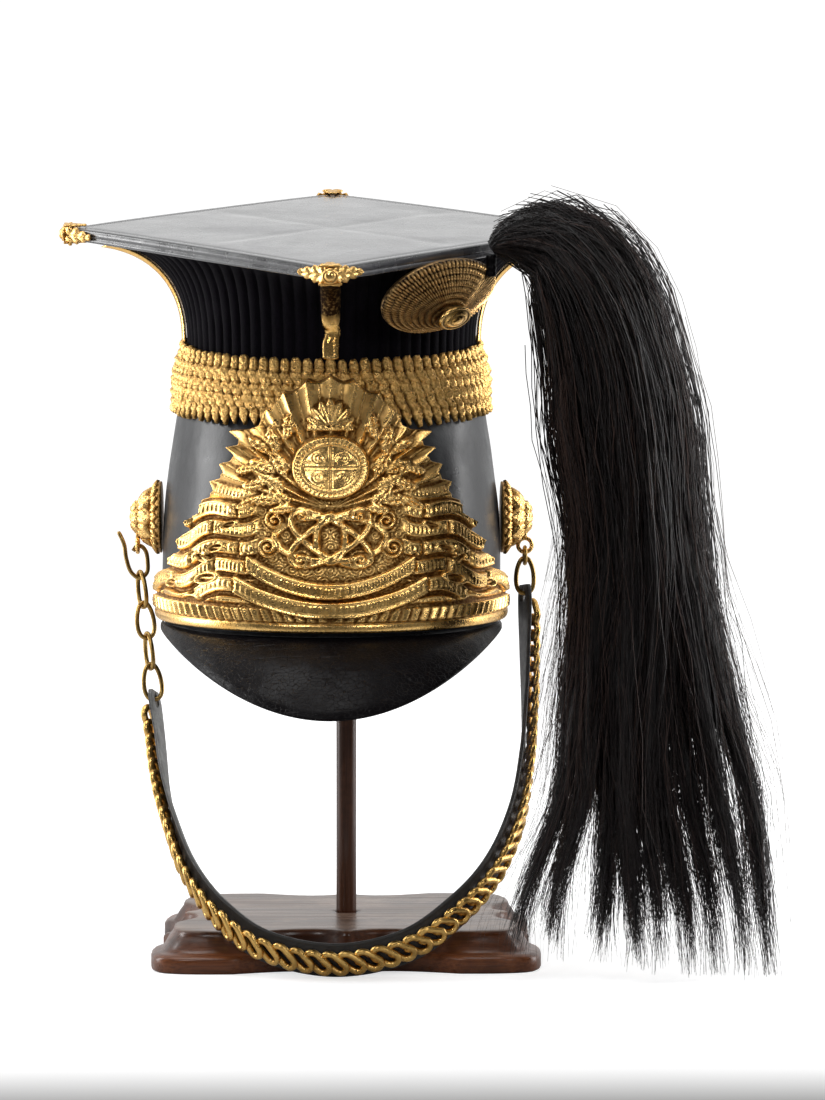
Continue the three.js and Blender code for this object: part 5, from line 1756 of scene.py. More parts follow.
    def relief(self, s: Array, v: Array) -> Array:
        """The whole relief.

        Args:
            s: place across the plate in millimetres along the skull.
            v: height from the plate's foot.

        Returns:
            Millimetres above the plate's plain face.
        """
        a = np.abs(s)
        total = np.maximum(self.flutes(s, v) * ramp(v, 58, 66), self.tendrils(s, v) * (a < 42) * (v < 62))
        side = self.side_bands(s, v) * ramp(a, 30, 36) * (1 - ramp(v, 66, 72)) * ramp(v, 12.5, 14.5)
        total = np.maximum(total, side)
        for height, rise, half, reach in ((8.2, 12.0, 4.4, 43), (17.6, 13.0, 4.0, 37)):
            centre = height + 2.6 + rise * (s / reach) ** 2
            band = self.ribbon(s, v, centre, half, 2.5) * (a < reach)
            groove = (np.abs(v - centre) < half * 1.16) & (a < reach + 1)
            total = np.where(band > 0.2, 1.9 + band + 0.7 * np.cos(s / 6.5), np.where(groove, 0.2, total))
        braid = self.braid(s, v)
        open_ground = (np.hypot(s / 32, (v - self.knot_height) / 13.5) < 1) & (v > 27 + 13 * (s / 37) ** 2)
        total = np.where(braid > 0.3, np.maximum(braid + 0.4, total * 0.3),
                         np.where(open_ground, self.tendrils(s, v), total))
        leaf = self.leaves(s, v)
        total = np.where(leaf > 0.2, np.maximum(leaf + 0.5, total), total)
        fan = self.palmette(s, v)
        total = np.where(fan > 0.2, fan + 1.6, total)
        boss = self.shield(s, v)
        total = np.where(boss > 0, boss + 1.2, total)
        phase = (a - 0.35 * (v - 5)) / 4.9
        facets = 2.6 * (phase % 1) * (1 - ramp(phase % 1, 0.84, 1.0))
        ends = (v > 4.6) & (v < 11.4) & (total < 1.6)
        total = np.where(ends | ((v > 4.6) & (v < 7.4)), facets * ramp(v, 4.4, 5.6) + 0.2, total)
        return np.where(v < 4.6, 0.5 + 1.0 * ridge(v - 2.3, 2.4), total)

    def blurred(self, relief: Array) -> Array:
        """The relief averaged three times over squares of seven points a side."""
        for _ in range(3):
            pad = np.pad(relief, 3, mode="edge")
            total = np.cumsum(np.pad(pad, ((1, 0), (0, 0))), 0)
            pad = (total[7:] - total[:-7]) / 7
            total = np.cumsum(np.pad(pad, ((0, 0), (1, 0))), 1)
            relief = (total[:, 7:] - total[:, :-7]) / 7
        return relief

    def faces(self, coarse: Array) -> list[list[int]]:
        """The faces between the fine relief and the plate's coarse back.

        Args:
            coarse: the columns of the relief that the back's columns lie behind.

        Returns:
            The faces' point numbers, the relief's points first.
        """
        rows, cols, few = self.rows, self.cols, len(coarse)
        base, far = rows * cols, (rows - 1) * cols
        faces = grid_faces(rows, cols, False, False)
        faces += [[base + i for i in f[::-1]] for f in grid_faces(rows, few, False, False)]
        for r in range(rows - 1):
            here, there, left, right = r * cols, (r + 1) * cols, base + r * few, base + (r + 1) * few
            faces.append([here, there, right, left])
            faces.append([there + cols - 1, here + cols - 1, left + few - 1, right + few - 1])
        for j in range(few - 1):
            run = list(range(coarse[j], coarse[j + 1] + 1))
            faces.append([base + j, base + j + 1] + run[::-1])
            last = base + (rows - 1) * few + j
            faces.append([last + 1, last] + [far + c for c in run])
        return faces

    def build(self, finishes: Finishes) -> None:
        """Builds the plate as a fine relief with a plain back.

        Args:
            finishes: the materials.
        """
        up = np.linspace(0, 1, self.rows)[:, None]
        side = np.linspace(-1, 1, self.cols)[None]
        keys, reaches = zip(*self.edge_table)
        reach = np.interp(up, keys, reaches)
        angle = side * reach
        s = np.radians(angle) * FORM.half_width
        fan_turn = side * 31.0 / 59.0
        tips = np.abs(((fan_turn / math.radians(self.ray_pitch)) + 0.5) % 1 - 0.5) * 2
        fan_top = 60 + (61.5 - 9.5 * (fan_turn / 0.55) ** 2 + 3.2 * (1 - tips) ** 1.8) * np.cos(fan_turn)
        v = up * self.height + (fan_top - self.height) * up**7
        edge, top = (1 - np.abs(side)) * np.radians(reach) * FORM.half_width, fan_top - v
        rim = ramp(edge, 0.0, 1.1) * ramp(top + 0 * side, -0.2, 0.9)
        lip = 0.5 * np.exp(-((edge - 1.0) / 0.7) ** 2) * (v > 12)
        relief = self.relief(s, v) * ramp(edge, 0.2, 1.6) * ramp(top + 0 * side, 0, 1.2) + lip
        # Recess values from how far the relief lies below its blurred form; the gilt paints them as dirt and
        # shade.
        hollow = np.clip((self.blurred(relief) - relief) / 0.6 + 0.34 - relief / 4.5, 0, 1)
        height = FORM.rim + self.foot + v
        lift = self.lift(up) + 0 * side
        face = FORM.spot(270 + angle, height, lift + 0.25 + (self.thickness - 0.25) * rim + relief)
        coarse = np.linspace(0, self.cols - 1, self.back_cols).round().astype(int)
        back = FORM.spot(270 + angle[:, coarse], height[:, coarse], lift[:, coarse])
        skin = Skin()
        skin.add(np.vstack((face.reshape(-1, 3), back.reshape(-1, 3))), self.faces(coarse),
                 np.concatenate((hollow.ravel(), np.full(self.rows * self.back_cols, 0.7))))
        made = skin.make("relief_plate", finishes.plate)
        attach(made, "root")
        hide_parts("front_plate")
        LOG.info("front plate: %d points", skin.count)


@dataclass(frozen=True)
class RidgeStation:
    """One place up a ridge of the cloth top, with the strip's size there."""

    height: float
    reach: float
    slope: Array
    half: float
    fall: float
    dent: float
    turn: float

    def at(self, lift: Array, aside: Array) -> Array:
        """Points of the strip's section.

        Args:
            lift: how far they stand off the ridge.
            aside: places across the strip, -1 to 1.

        Returns:
            Points in millimetres.
        """
        radial = self.reach - self.fall * np.abs(aside) ** 1.25 + self.slope[1] * lift
        across = aside * self.half * (1 - 0.16 * self.dent) + 0.9 * self.dent
        x = radial * math.cos(self.turn) - across * math.sin(self.turn)
        y = radial * math.sin(self.turn) + across * math.cos(self.turn)
        spot = FORM.on_slice(x, y, np.full_like(x, self.height))
        spot[:, 2] += -self.slope[0] * lift
        return spot


@dataclass
class RidgeStrips:
    """The gilt mouldings down the four ridges, the front one wider above, dented, and dark above for tarnish
    and painted shadow under the board.
    """

    width: float = 9.0
    thickness: float = 1.4
    stand_off: float = 0.8
    low: float = 290.7
    dent_height: float = 304.0
    dent_half: float = 3.2
    rows: int = 64

    def build(self, finishes: Finishes) -> None:
        """Builds the four strips."""
        share = 1 - (1 - np.linspace(0, 1, self.rows)) ** 1.5
        height = self.low + (FORM.board_height - self.low) * share * 0.988
        square = FORM.squareness(height)
        across, behind = np.linspace(-1, 1, 13), np.linspace(0.98, -0.98, 5)
        arch = self.thickness * np.sqrt(np.clip(1.1 - across**2, 0, 1)) * (1 + 0.4 * (1 - across**2))
        for quarter, side in enumerate(SIDES):
            reach = np.hypot(*FORM.outline(np.full_like(height, quarter * 90.0), height))
            slope = unit(np.stack((np.gradient(reach), np.gradient(height)), -1))
            half = self.width / 2 * (0.96 - 0.08 * share)
            dent = np.zeros_like(height)
            # Darker towards the board, the front strip most: tarnish and painted shadow under the board.
            tarnish_and_shade = 0.1 * ramp(share, 0.3, 0.9)
            if side == "front":
                half = self.width / 2 * (0.84 + 0.24 * share)
                dent = np.exp(-(((height - self.dent_height) / self.dent_half) ** 2))
                tarnish_and_shade = ramp(share, 0.36, 0.55)
            fall = square * half + (1 - square) * half**2 / (2 * reach)
            rings = []
            for i, h in enumerate(height):
                place = RidgeStation(h, reach[i], slope[i], half[i], fall[i], dent[i], quarter * math.pi / 2)
                face = place.at(self.stand_off + 0.1 + arch - 0.8 * dent[i], across)
                rings.append(np.vstack((face, place.at(np.full(len(behind), self.stand_off), behind))))
            skin = Skin()
            skin.rings(np.array(rings), hollow=np.repeat(tarnish_and_shade[:, None], len(across) + len(behind), 1))
            made = skin.make("ridge_moulding_" + side, finishes.strip)
            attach(made, "root")
            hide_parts("ridge_strip_" + side)
        LOG.info("ridge strips: %d", len(SIDES))


@dataclass
class CornerMounts:
    """The leaf mounts that clasp the board's four corners."""

    wing: float = 19.0
    height: float = 10.6
    thickness: float = 1.1
    board_thickness: float = 6.5
    knob: float = 3.4
    knob_sides: int = 28

    @property
    def middle_height(self) -> float:
        """Height of the wings' and the knob's middle above the board's underside."""
        return self.board_thickness / 2 - 0.4

    def on_corner(self, points: Array, turn: float) -> Array:
        """Points of the right corner's mount, turned to another corner of the tilted board."""
        x = points[..., 0] * math.cos(turn) - points[..., 1] * math.sin(turn)
        y = points[..., 0] * math.sin(turn) + points[..., 1] * math.cos(turn)
        return FORM.on_board(x, y, points[..., 2])

    def wing_grid(self, sign: int) -> tuple[Array, Array, Array]:
        """One lobed wing along an edge of the board.

        Args:
            sign: which edge of the corner.

        Returns:
            The face's points, the back's points and the recess values, in the corner's own frame.
        """
        t = np.linspace(0, 1, 38)[:, None]
        w = np.linspace(-1, 1, 13)[None]
        saw = (t * 3.6 + 0.15) % 1
        lobes = np.minimum(saw / 0.72, (1 - saw) / 0.28)
        half = self.height / 2 * (1.12 - 0.82 * t) * (0.56 + 0.44 * lobes) * (1 - ramp(t, 0.94, 1.0) * 0.8)
        curl = 0.5 * np.abs(np.sin(math.pi * (t * 3.6 + 0.15) - np.abs(w) * 1.6))
        veins = 0.42 * np.abs(np.sin(t * 26 - np.abs(w) * 7))
        lift = (self.thickness + 1.0 * ridge(w, 1.05) * (1 - 0.4 * t) + curl - veins
                - 0.5 * np.exp(-(w / 0.1) ** 2))
        hollow = np.clip(1.15 - lift / 1.9, 0, 1)
        along = t * self.wing + 1.5 * np.abs(w) * (1 - t)
        up = self.middle_height + w * half + 0 * t
        return self.wing_points(along, lift, up, sign), self.wing_points(along, 0.15, up, sign), hollow

    def wing_points(self, along: Array, out: Array, up: Array, sign: int) -> Array:
        """Points of a wing from places along the board's edge, off it and up it."""
        start, out = FORM.board_reach + 0.5, np.broadcast_to(out, along.shape)
        diagonal, normal = math.radians(135) * sign, math.radians(45) * sign
        return np.stack((start + along * math.cos(diagonal) + out * math.cos(normal),
                         along * math.sin(diagonal) + out * math.sin(normal), up), -1)

    def flap_grid(self, z: float, face: int) -> tuple[Array, Array, Array]:
        """A leaf that lies on the board's top or under it, pointing inwards."""
        t = np.linspace(0, 1, 20)[:, None]
        w = np.linspace(-1, 1, 15)[None]
        half = 5.6 * (1 - t * 0.7) * (0.75 + 0.25 * np.abs(np.sin(math.pi * (t * 2.5 + 0.2))))
        lift = (0.45 + 0.75 * ridge(w, 1.05) * (1 - 0.5 * t) - 0.3 * np.exp(-(w / 0.12) ** 2)
                + 0.25 * np.abs(np.sin(t * 14 - np.abs(w) * 3)))
        x = FORM.board_reach + 1.2 - t * 10.5 + 0 * w
        y = w * half + 0 * t
        face_points = np.stack((x, y, z + face * lift), -1)
        back_points = np.stack((x, y, np.full_like(x, z + face * 0.12)), -1)
        return face_points, back_points, np.clip(1.1 - lift / 1.2, 0, 1)

    def build(self, finishes: Finishes) -> None:
        """Builds the four mounts."""
        # Each row of the knob is a share of its radius, a distance out and a recess value.
        knob_rows = ((0.1 / self.knob, 0.6, 0.6), (1, 0.6, 0.5), (1.05, 1.5, 0), (0.96, 2.1, 0.1),
                     (0.78, 1.9, 0.9),
                     (0.74, 2.4, 0.5), (0.6, 3.0, 0), (0.34, 3.5, 0), (0.05 / self.knob, 3.65, 0))
        knob = lathe_rings([(self.knob * share, out) for share, out, _ in knob_rows], self.knob_sides)
        knob = knob + np.array((FORM.board_reach + 0.2, 0, self.middle_height))
        knob_hollow = np.repeat([[hollow] for _, _, hollow in knob_rows], self.knob_sides, 1)
        leaves = [self.wing_grid(1), self.wing_grid(-1)]
        leaves += [self.flap_grid(self.board_thickness + 0.1, 1), self.flap_grid(-0.3, -1)]
        for quarter, side in enumerate(SIDES):
            turn = quarter * math.pi / 2
            skin = Skin()
            for face, back, hollow in leaves:
                skin.slab(self.on_corner(face, turn), self.on_corner(back, turn), hollow)
            skin.rings(self.on_corner(knob, turn), hollow=knob_hollow)
            made = skin.make("corner_mount_" + side, finishes.plate)
            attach(made, "root")
            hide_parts("corner_leaf_" + side)
        LOG.info("corner mounts: %d", len(SIDES))


@dataclass(frozen=True)
class LeafRing:
    """One ring of leaves on a boss: how many, where, how large, and how far the tips stand out."""

    name: str
    count: int
    radial: float
    out: float
    length: float
    half: float
    lift: float
    tip_out: float
    shift: float


LEAF_RINGS = (
    LeafRing("rim", 22, 0.83, 2.9, 7.6, 2.7, 1.9, tip_out=0.36, shift=0.0),
    LeafRing("middle", 9, 0.6, 6.6, 10.0, 4.9, 2.9, tip_out=0.85, shift=0.5),
    LeafRing("inner", 6, 0.34, 10.9, 7.6, 4.1, 2.7, tip_out=1.0, shift=0.0),
)


@dataclass
class SideBosses:
    """The two side bosses: a dome under rings of leaves, with a wire lug below."""

    radius: float = 17.0
    depth: float = 15.0
    centre: float = 206.5
    wall: float = 80.85
    lug_radius: float = 3.3
    lug_wire: float = 1.0
    lug_reach: float = 11.5
    lug_drop: float = 13.5

    def build(self, finishes: Finishes, tool: CopyTool) -> None:
        """Builds both bosses.

        Args:
            finishes: the materials.
            tool: what sets the leaves.
        """
        r = self.radius
        profile = [(0.2, 0), (r, 0), (r, 0.8), (r * 0.98, 1.6), (r * 0.86, 3.2), (r * 0.72, 4.4),
                   (r * 0.66, 7.4),
                   (r * 0.55, 8.2), (r * 0.46, 11.0), (r * 0.36, 11.6), (r * 0.33, 12.6), (r * 0.24, 14.0),
                   (r * 0.1, 14.9), (0.1, self.depth)]
        # Each row of the button is a radius, a distance out and a recess value.
        button_rows = ((0.1, 12.2, 0.5), (4.6, 12.2, 0.5), (4.9, 13.2, 0), (4.0, 13.9, 0.2), (3.1, 13.7, 0.9),
                       (2.8, 14.4, 0.2), (1.7, 15.2, 0), (0.1, 15.5, 0))
        dome = lathe_rings(profile, 48)
        button = lathe_rings([row[:2] for row in button_rows], 32)
        for side, sign in (("left", -1), ("right", 1)):
            skin = Skin()
            # The dome gets recess value 0.75 all over: painted shade under the leaves.
            skin.rings(self.seat(dome, sign), hollow=np.full(dome.shape[:2], 0.75))
            skin.rings(tube_rings(self.seat(self.lug(side == "left"), sign), self.lug_wire, 10, True),
                       joined=True)
            stem = np.array([(self.lug_reach, 0, z)
                             for z in np.linspace(0, self.lug_radius - self.lug_drop, 6)])
            skin.rings(tube_rings(self.seat(stem, sign), self.lug_wire, 10))
            made = skin.make("boss_dome_" + side, finishes.boss)
            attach(made, "root")
            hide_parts("boss_" + side)
            for ring in LEAF_RINGS:
                self.leaves(ring, side, sign, finishes, tool)
            bead = Skin()
            bead.rings(self.seat(button, sign), hollow=np.repeat([[row[2]] for row in button_rows], 32, 1))
            made = bead.make("boss_button_" + side, finishes.boss)
            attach(made, "root")
        LOG.info("side bosses: 2")

    def seat(self, points: Array, sign: int) -> Array:
        """Points given from a boss's centre, its face to +X, set on the right (1) or left (-1) side."""
        return np.array((FORM.middle + sign * self.wall, 0.0, self.centre)) + points * np.array((sign, 1, 1))

    def lug(self, sideways: bool) -> Array:
        """The middle line of the lug's wire, facing out to the side or to the front."""
        turn = np.linspace(0, 2 * math.pi, 28, endpoint=False)
        swing, up = np.cos(turn) * self.lug_radius, -self.lug_drop + np.sin(turn) * self.lug_radius
        if sideways:
            return np.stack((np.full_like(turn, self.lug_reach), swing, up), -1)
        return np.stack((self.lug_reach + swing, turn * 0, up), -1)

    def leaves(self, ring: LeafRing, side: str, sign: int, finishes: Finishes, tool: CopyTool) -> None:
        """One ring of leaves.

        Args:
            ring: the ring's sizes.
            side: the boss's side.
            sign: 1 on the right and -1 on the left.
            finishes: the materials.
            tool: what sets the leaves.
        """
        a = (np.arange(ring.count) + ring.shift) * 2 * math.pi / ring.count
        reach = self.radius * ring.radial
        at = self.seat(np.stack((np.full(ring.count, ring.out), reach * np.cos(a), reach * np.sin(a)), -1),
                       sign)
        outward = np.stack((np.zeros(ring.count), np.cos(a), np.sin(a)), -1)
        axis = np.array((sign, 0.0, 0.0))
        rise, facing = unit(outward - axis * ring.tip_out), unit(axis + outward * ring.tip_out)
        form = small_leaf(ring.length, ring.half, ring.lift)
        made = tool.place(f"boss_leaves_{ring.name}_{side}", form, at, facing, rise, finishes.boss, 1.0, 0.05,
                          11)
        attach(made, "root")


@dataclass
class Cockade:
    """The oval cockade of corded rings, with its button, and the socket that holds the plume."""

    spot: tuple[float, float, float] = (49.3, -66.0, 307.6)
    length: float = 72.0
    width: float = 38.0
    rise: float = 9.0
    back: float = 3.0
    drift: float = 2.0
    drop: float = 5.0
    lean: float = 35.0
    rings: int = 8
    cord: float = 2.1
    fan_angle: float = 12.0
    button: tuple[float, float] = (20.0, 12.0)
    around: int = 420
    button_lift: float = 2.6
    button_sides: int = 64

    def frame(self) -> tuple[Array, Array, Array, Array]:
        """The cockade's middle and its axes: along the face, up it, and out of it."""
        tilt, lean, h = float(FORM.tilt(self.spot[2])), math.radians(self.lean), math.sqrt(0.5)
        along = np.array((h, h * math.cos(tilt), h * math.sin(tilt)))
        up = np.array((h * math.sin(lean), -h * math.sin(lean), math.cos(lean)))
        out = unit(np.cross(along, up))
        return np.array(self.spot) + (FORM.middle, 0, 0), along, np.cross(out, along), out

    def build(self, finishes: Finishes) -> None:
        """Builds the rings, the button and the socket.

        Args:
            finishes: the materials.
        """
        middle, along, up, out = self.frame()
        turn = np.arange(self.around) * 2 * math.pi / self.around
        rings, hollow = [], []
        for share in np.concatenate((np.linspace(1.0, 0.22, 62), [0.12, 0.02])):
            ring, recess = self.cord_ring(turn, share)
            rings.append(ring)
            hollow.append(recess)
        half_long, half_wide = self.length / 2, self.width / 2
        # Each row behind the face is a share of the oval and a height.
        behind = ((0.3, -self.back), (0.88, -self.back), (0.97, -self.back + 0.8), (1.0, -0.6))
        back = [np.stack((half_long * share * np.cos(turn), half_wide * share * np.sin(turn),
                          np.full(self.around, z)), -1)
                for share, z in behind]
        skin = Skin()
        hidden = [np.full(self.around, 0.8)] * len(back)
        skin.rings(placed(np.array(back + rings), middle, along, up, out), hollow=np.array(hidden + hollow))
        made = skin.make("corded_cockade", finishes.cockade)
        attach(made, "root")
        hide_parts("cockade")
        self.oval_button(finishes)
        self.socket(finishes)
        LOG.info("cockade: %d rings", self.rings)

    def cord_ring(self, turn: Array, share: float) -> tuple[Array, Array]:
        """One ring of the face: beaded cords, with a fluted fan on one side.

        Args:
            turn: angles round the oval.
            share: the ring's size as a share of the oval, 1 at its edge.

        Returns:
            The ring's points in the cockade's own frame, and its recess values.
        """
        phase = (1 - share) * (self.rings / 0.8)
        cord = math.sqrt(max(0.0, 1 - (2 * (phase % 1) - 1) ** 2)) if share > 0.2 else 0.4
        aside = np.cos(turn - math.radians(self.fan_angle))
        fan = ramp(aside, math.cos(math.radians(40)), math.cos(math.radians(24))) * (share > 0.2)
        twist = (0.5 + 0.5 * np.sin(turn * 84 + int(phase) * 1.3)) ** 0.7
        flute = 0.5 + 0.5 * np.sin(turn * 70)
        corded = (0.05 + 1.0 * twist) * cord * self.cord
        z = self.rise * 0.92 * (1 - share) ** 0.85 + corded * (1 - fan) + (0.4 + 1.1 * flute) * fan
        x = self.length / 2 * share * np.cos(turn) + 2 * self.drift * (1 - share)
        y = self.width / 2 * share * np.sin(turn) - 2 * self.drop * (1 - share)
        recess = np.clip(1.45 - cord * (0.25 + 1.2 * twist), 0, 1) * (1 - fan) + fan * 0.7 * (1 - flute)
        return np.stack((x, y, z), -1), recess

    def oval_button(self, finishes: Finishes) -> None:
        """The stepped oval button, fluted round its shoulder."""
        middle, along, up, out = self.frame()
        turn = np.linspace(0, 2 * math.pi, self.button_sides, endpoint=False)
        # Each row is a share of the button's size, a height and a recess value.
        rows = ((0.3, -1.0, .9), (0.99, -0.9, .9), (1.0, 0.4, .1), (0.95, 1.1, 0), (0.88, 1.25, .2),
                (0.82, 0.9, 1),
                (0.78, 1.0, .7), (0.66, 1.7, 0), (0.5, 2.3, .1), (0.44, 2.1, .8), (0.38, 2.5, .2),
                (0.2, 2.95, 0),
                (0.02, 3.05, 0))
        rings = []
        for share, z, _ in rows:
            flute = 1 + (0.02 * np.sin(turn * 32) if 0.85 < share < 0.97 else 0.0)
            x = self.button[0] / 2 * share * np.cos(turn) * flute
            y = self.button[1] / 2 * share * np.sin(turn) * flute
            rings.append(np.stack((x + self.drift, y - self.drop,
                                   np.full(self.button_sides, z + self.rise + self.button_lift)), -1))
        skin = Skin()
        skin.rings(placed(np.array(rings), middle, along, up, out),
                   hollow=np.repeat([[row[2]] for row in rows], self.button_sides, 1))
        made = skin.make("cockade_oval_button", finishes.strip)
        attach(made, "root")
        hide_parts("cockade_button")

    def socket(self, finishes: Finishes) -> None:
        """The short ringed socket between the board's edge and the plume's root."""
        reach, shift, top, length, r = FORM.board_side / 2 + 5, 10.0, 2.25, 10.0, 2.4
        h = math.sqrt(0.5)
        foot = np.array((h * reach + h * shift, -h * reach + h * shift, top - length))
        profile = [(0.1, 0), (r * 0.8, 0), (r, 0.5), (r, 2.2), (r * 0.86, 2.5), (r, 2.8), (r, 5.0),
                   (r * 0.86, 5.3), (r, 5.6), (r, 9.4), (r * 0.8, length), (0.1, length)]
        rings = lathe_rings(profile, 28)[:, :, [1, 2, 0]] + foot
        skin = Skin()
        skin.rings(FORM.on_board(rings[..., 0], rings[..., 1], rings[..., 2]))
        made = skin.make("plume_holder", finishes.peak)
        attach(made, "root")
        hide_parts("plume_socket")


# The chin chain

STRAP_ROUTE = (
    (-84.8, -3, 123.5), (-81.6, -9, 104), (-78.2, -26, 84.3), (-71.7, -46, 63.3), (-62.7, -65, 43.2),
    (-48.7, -81.5, 26.6),
    (-30.6, -91, 14.4), (2, -94.5, 7.8), (34.5, -91, 13.9), (56, -80.5, 27.4), (73, -62.5, 44),
    (84, -43, 65.2),
    (89.7, -23, 90.8), (91.8, -9, 120), (92.2, -3, 148), (92.3, -1, 174.2))
ROUTE_SPANS = 360
HOOK_ROUTE = ((0.925, 0.66), (0.655, 0.05), (0.545, -0.65), (0.305, -1.3), (-0.095, -1.57), (-0.435, -1.3),
              (-0.465, -0.75),
              (-0.375, -0.28), (-0.155, -0.04), (0.065, -0.06), (0.225, -0.28))


@dataclass
class ChinChain:
    """The hook, the loose links, the leather strap and the flat curb chain on its outer face."""

    strap_width: float = 16.0
    strap_thickness: float = 2.0
    strap_end: float = 5.0
    strap_hole: float = 6.0
    strap_spans: int = 150
    strap_facing: float = 105.0
    turn_at_ends: float = 19.0
    turn_below: float = 51.0
    chain_inset: float = 9.0
    chain_pitch: float = 7.4
    curb_length: float = 15.4
    curb_width: float = 9.6
    curb_wire: float = 1.6
    curb_lift: float = 2.4
    curb_roll: float = 20.0
    curb_turn: float = -37.0
    link_length: float = 19.0
    link_width: float = 10.0
    wire: float = 1.0
    ring_radius: float = 3.9
    gap: float = 0.35
    hook_reach: float = 10.0

    def __post_init__(self) -> None:
        """Works out the strap's route once."""
        self.route = curve_through(np.array(STRAP_ROUTE) + (FORM.middle, 0, 0), ROUTE_SPANS)
        self.length = float(np.linalg.norm(np.diff(self.route, axis=0), axis=1).sum())

    def frames(self, steps: int, inset: float = 0.0) -> tuple[Array, Array, Array, Array]:
        """Places along the strap with their along, out and across directions.

        Args:
            steps: how many spans.
            inset: length left out at each end.

        Returns:
            Four arrays of steps + 1 rows.
        """
        share = np.linspace(inset / self.length, 1 - inset / self.length, steps + 1)
        spot = self.along_route(self.route, share)
        along = unit(self.along_route(np.gradient(self.route, axis=0), share))
        out = spot - np.array((FORM.middle, 0, self.strap_facing))
        out = unit(out - along * np.sum(out * along, -1, keepdims=True))
        across = np.cross(out, along)
        below = np.sin(math.pi * np.linspace(0, 1, steps + 1)) ** 2
        turn = np.radians(self.turn_at_ends - self.turn_below * below)[:, None]
        out = out * np.cos(turn) - across * np.sin(turn)
        return spot, along, out, np.cross(out, along)

    def along_route(self, values: Array, share: Array) -> Array:
        """Values given at each place of the route, read at shares of its length."""
        places = np.arange(ROUTE_SPANS + 1)
        return np.stack([np.interp(share * ROUTE_SPANS, places, values[:, k]) for k in range(3)], -1)

    def hold(self, end: bool) -> Array:
        """Where a link's wire passes through the strap's hole."""
        inset = self.strap_end - self.strap_hole / 2 + self.wire + 3 * self.gap
        return self.along_route(self.route, 1 - inset / self.length if end else inset / self.length)

    def strap(self, finishes: Finishes) -> None:
        """The strap: a flat band with rounded edges, creased along both, and a hole at each end."""
        spans = self.strap_spans
        spot, along, out, across = self.frames(spans)
        a, b = self.strap_width / 2, self.strap_thickness / 2
        inner_face = [(-a, -b * .4), (-a * .97, -b * .85), (-a * .9, -b), (-a * .5, -b), (0, -b),
                      (a * .5, -b),
                      (a * .9, -b), (a * .97, -b * .85), (a, -b * .4)]
        outer_face = [(a, b * .4), (a * .97, b * .85), (a * .9, b), (a * .82, b * .72), (a * .74, b), (0, b),
                      (-a * .74, b), (-a * .82, b * .72), (-a * .9, b), (-a * .97, b * .85), (-a, b * .4)]
        section = np.array(inner_face + outer_face)[None]
        ends = np.ones(spans + 1)
        ends[[0, -1]], ends[[1, -2]] = 0.72, 0.93
        rings = (spot[:, None] + across[:, None] * section[..., :1] * ends[:, None, None]
                 + out[:, None] * section[..., 1:])
        # The inner face is given a pale grey that fades out by the strap's middle.
        paleness = 1 - 0.9 * ramp(np.linspace(0, 1, spans + 1), 0.22, 0.5)
        inner = (np.arange(section.shape[1]) < len(inner_face))[None] * paleness[:, None]
        skin = Skin()
        skin.rings(rings, hollow=inner)
        made = skin.make("leather_strap", finishes.strap)
        for end, side in ((0, 1), (spans, -1)):
            self.punch(made, spot[end] + along[end] * side * self.strap_end, out[end])
        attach(made, "root")
        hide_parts("chin_strap")

    def punch(self, strap: bpy.types.Object, middle: Array, axis: Array) -> None:
        """Cuts one round hole through the strap.

        Args:
            strap: the strap's object.
            middle: the hole's middle.
            axis: the way it goes through.
        """
        cutter = Skin()
        cutter.rings(tube_rings(middle + axis * np.linspace(-6, 6, 5)[:, None], self.strap_hole / 2, 20))
        tool = cutter.make("hole_cutter", strap.data.materials[0])
        modifier = strap.modifiers.new("hole", "BOOLEAN")
        modifier.operation, modifier.solver, modifier.object = "DIFFERENCE", "EXACT", tool
        bpy.context.view_layer.update()
        graph = bpy.context.evaluated_depsgraph_get()
        cut = strap.evaluated_get(graph)
        mesh = bpy.data.meshes.new_from_object(cut, preserve_all_data_layers=True, depsgraph=graph)
        strap.modifiers.remove(modifier)
        strap.data = mesh
        bpy.data.objects.remove(tool)

    def oval(self, round_steps: int = 10, sides: int = 8) -> Array:
        """Rings of a curb link's closed wire, an oval in the XZ plane with its long way along Z."""
        bend = self.curb_width / 2 - self.curb_wire
        straight = self.curb_length / 2 - self.curb_wire - bend
        path = []
        for start, middle in ((0, straight), (math.pi, -straight)):
            for turn in np.linspace(0, math.pi, round_steps) + start:
                path.append((math.cos(turn) * bend, 0.0, math.sin(turn) * bend + middle))
        return tube_rings(np.array(path), self.curb_wire, sides, True)

    def curb(self, finishes: Finishes, tool: CopyTool) -> None:
        """The curb chain: flat twisted links laid over each other along the strap's outer face."""
        count = int((self.length - 2 * self.chain_inset) / self.chain_pitch)
        spot, along, out, _ = self.frames(count - 1, self.chain_inset + 4)
        lift = self.strap_thickness / 2 + self.gap + self.curb_lift
        x, across, thick = np.moveaxis(self.oval()[..., [2, 0, 1]], -1, 0)
        roll, turn = math.radians(self.curb_roll), math.radians(self.curb_turn)
        y = across * math.cos(roll) - thick * math.sin(roll)
        z = across * math.sin(roll) + thick * math.cos(roll)
        turned = np.stack((x * math.cos(turn) - y * math.sin(turn), x * math.sin(turn) + y * math.cos(turn),
                           z), -1)
        link = Skin()
        link.rings(turned, joined=True)
        made = tool.place("curb_links", link, spot + out * lift, out, along, finishes.curb, 1.0, 0.03, 21)
        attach(made, "root")
        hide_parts("curb_chain")
        LOG.info("curb chain: %d links on a strap %.0f mm long", count, self.length)

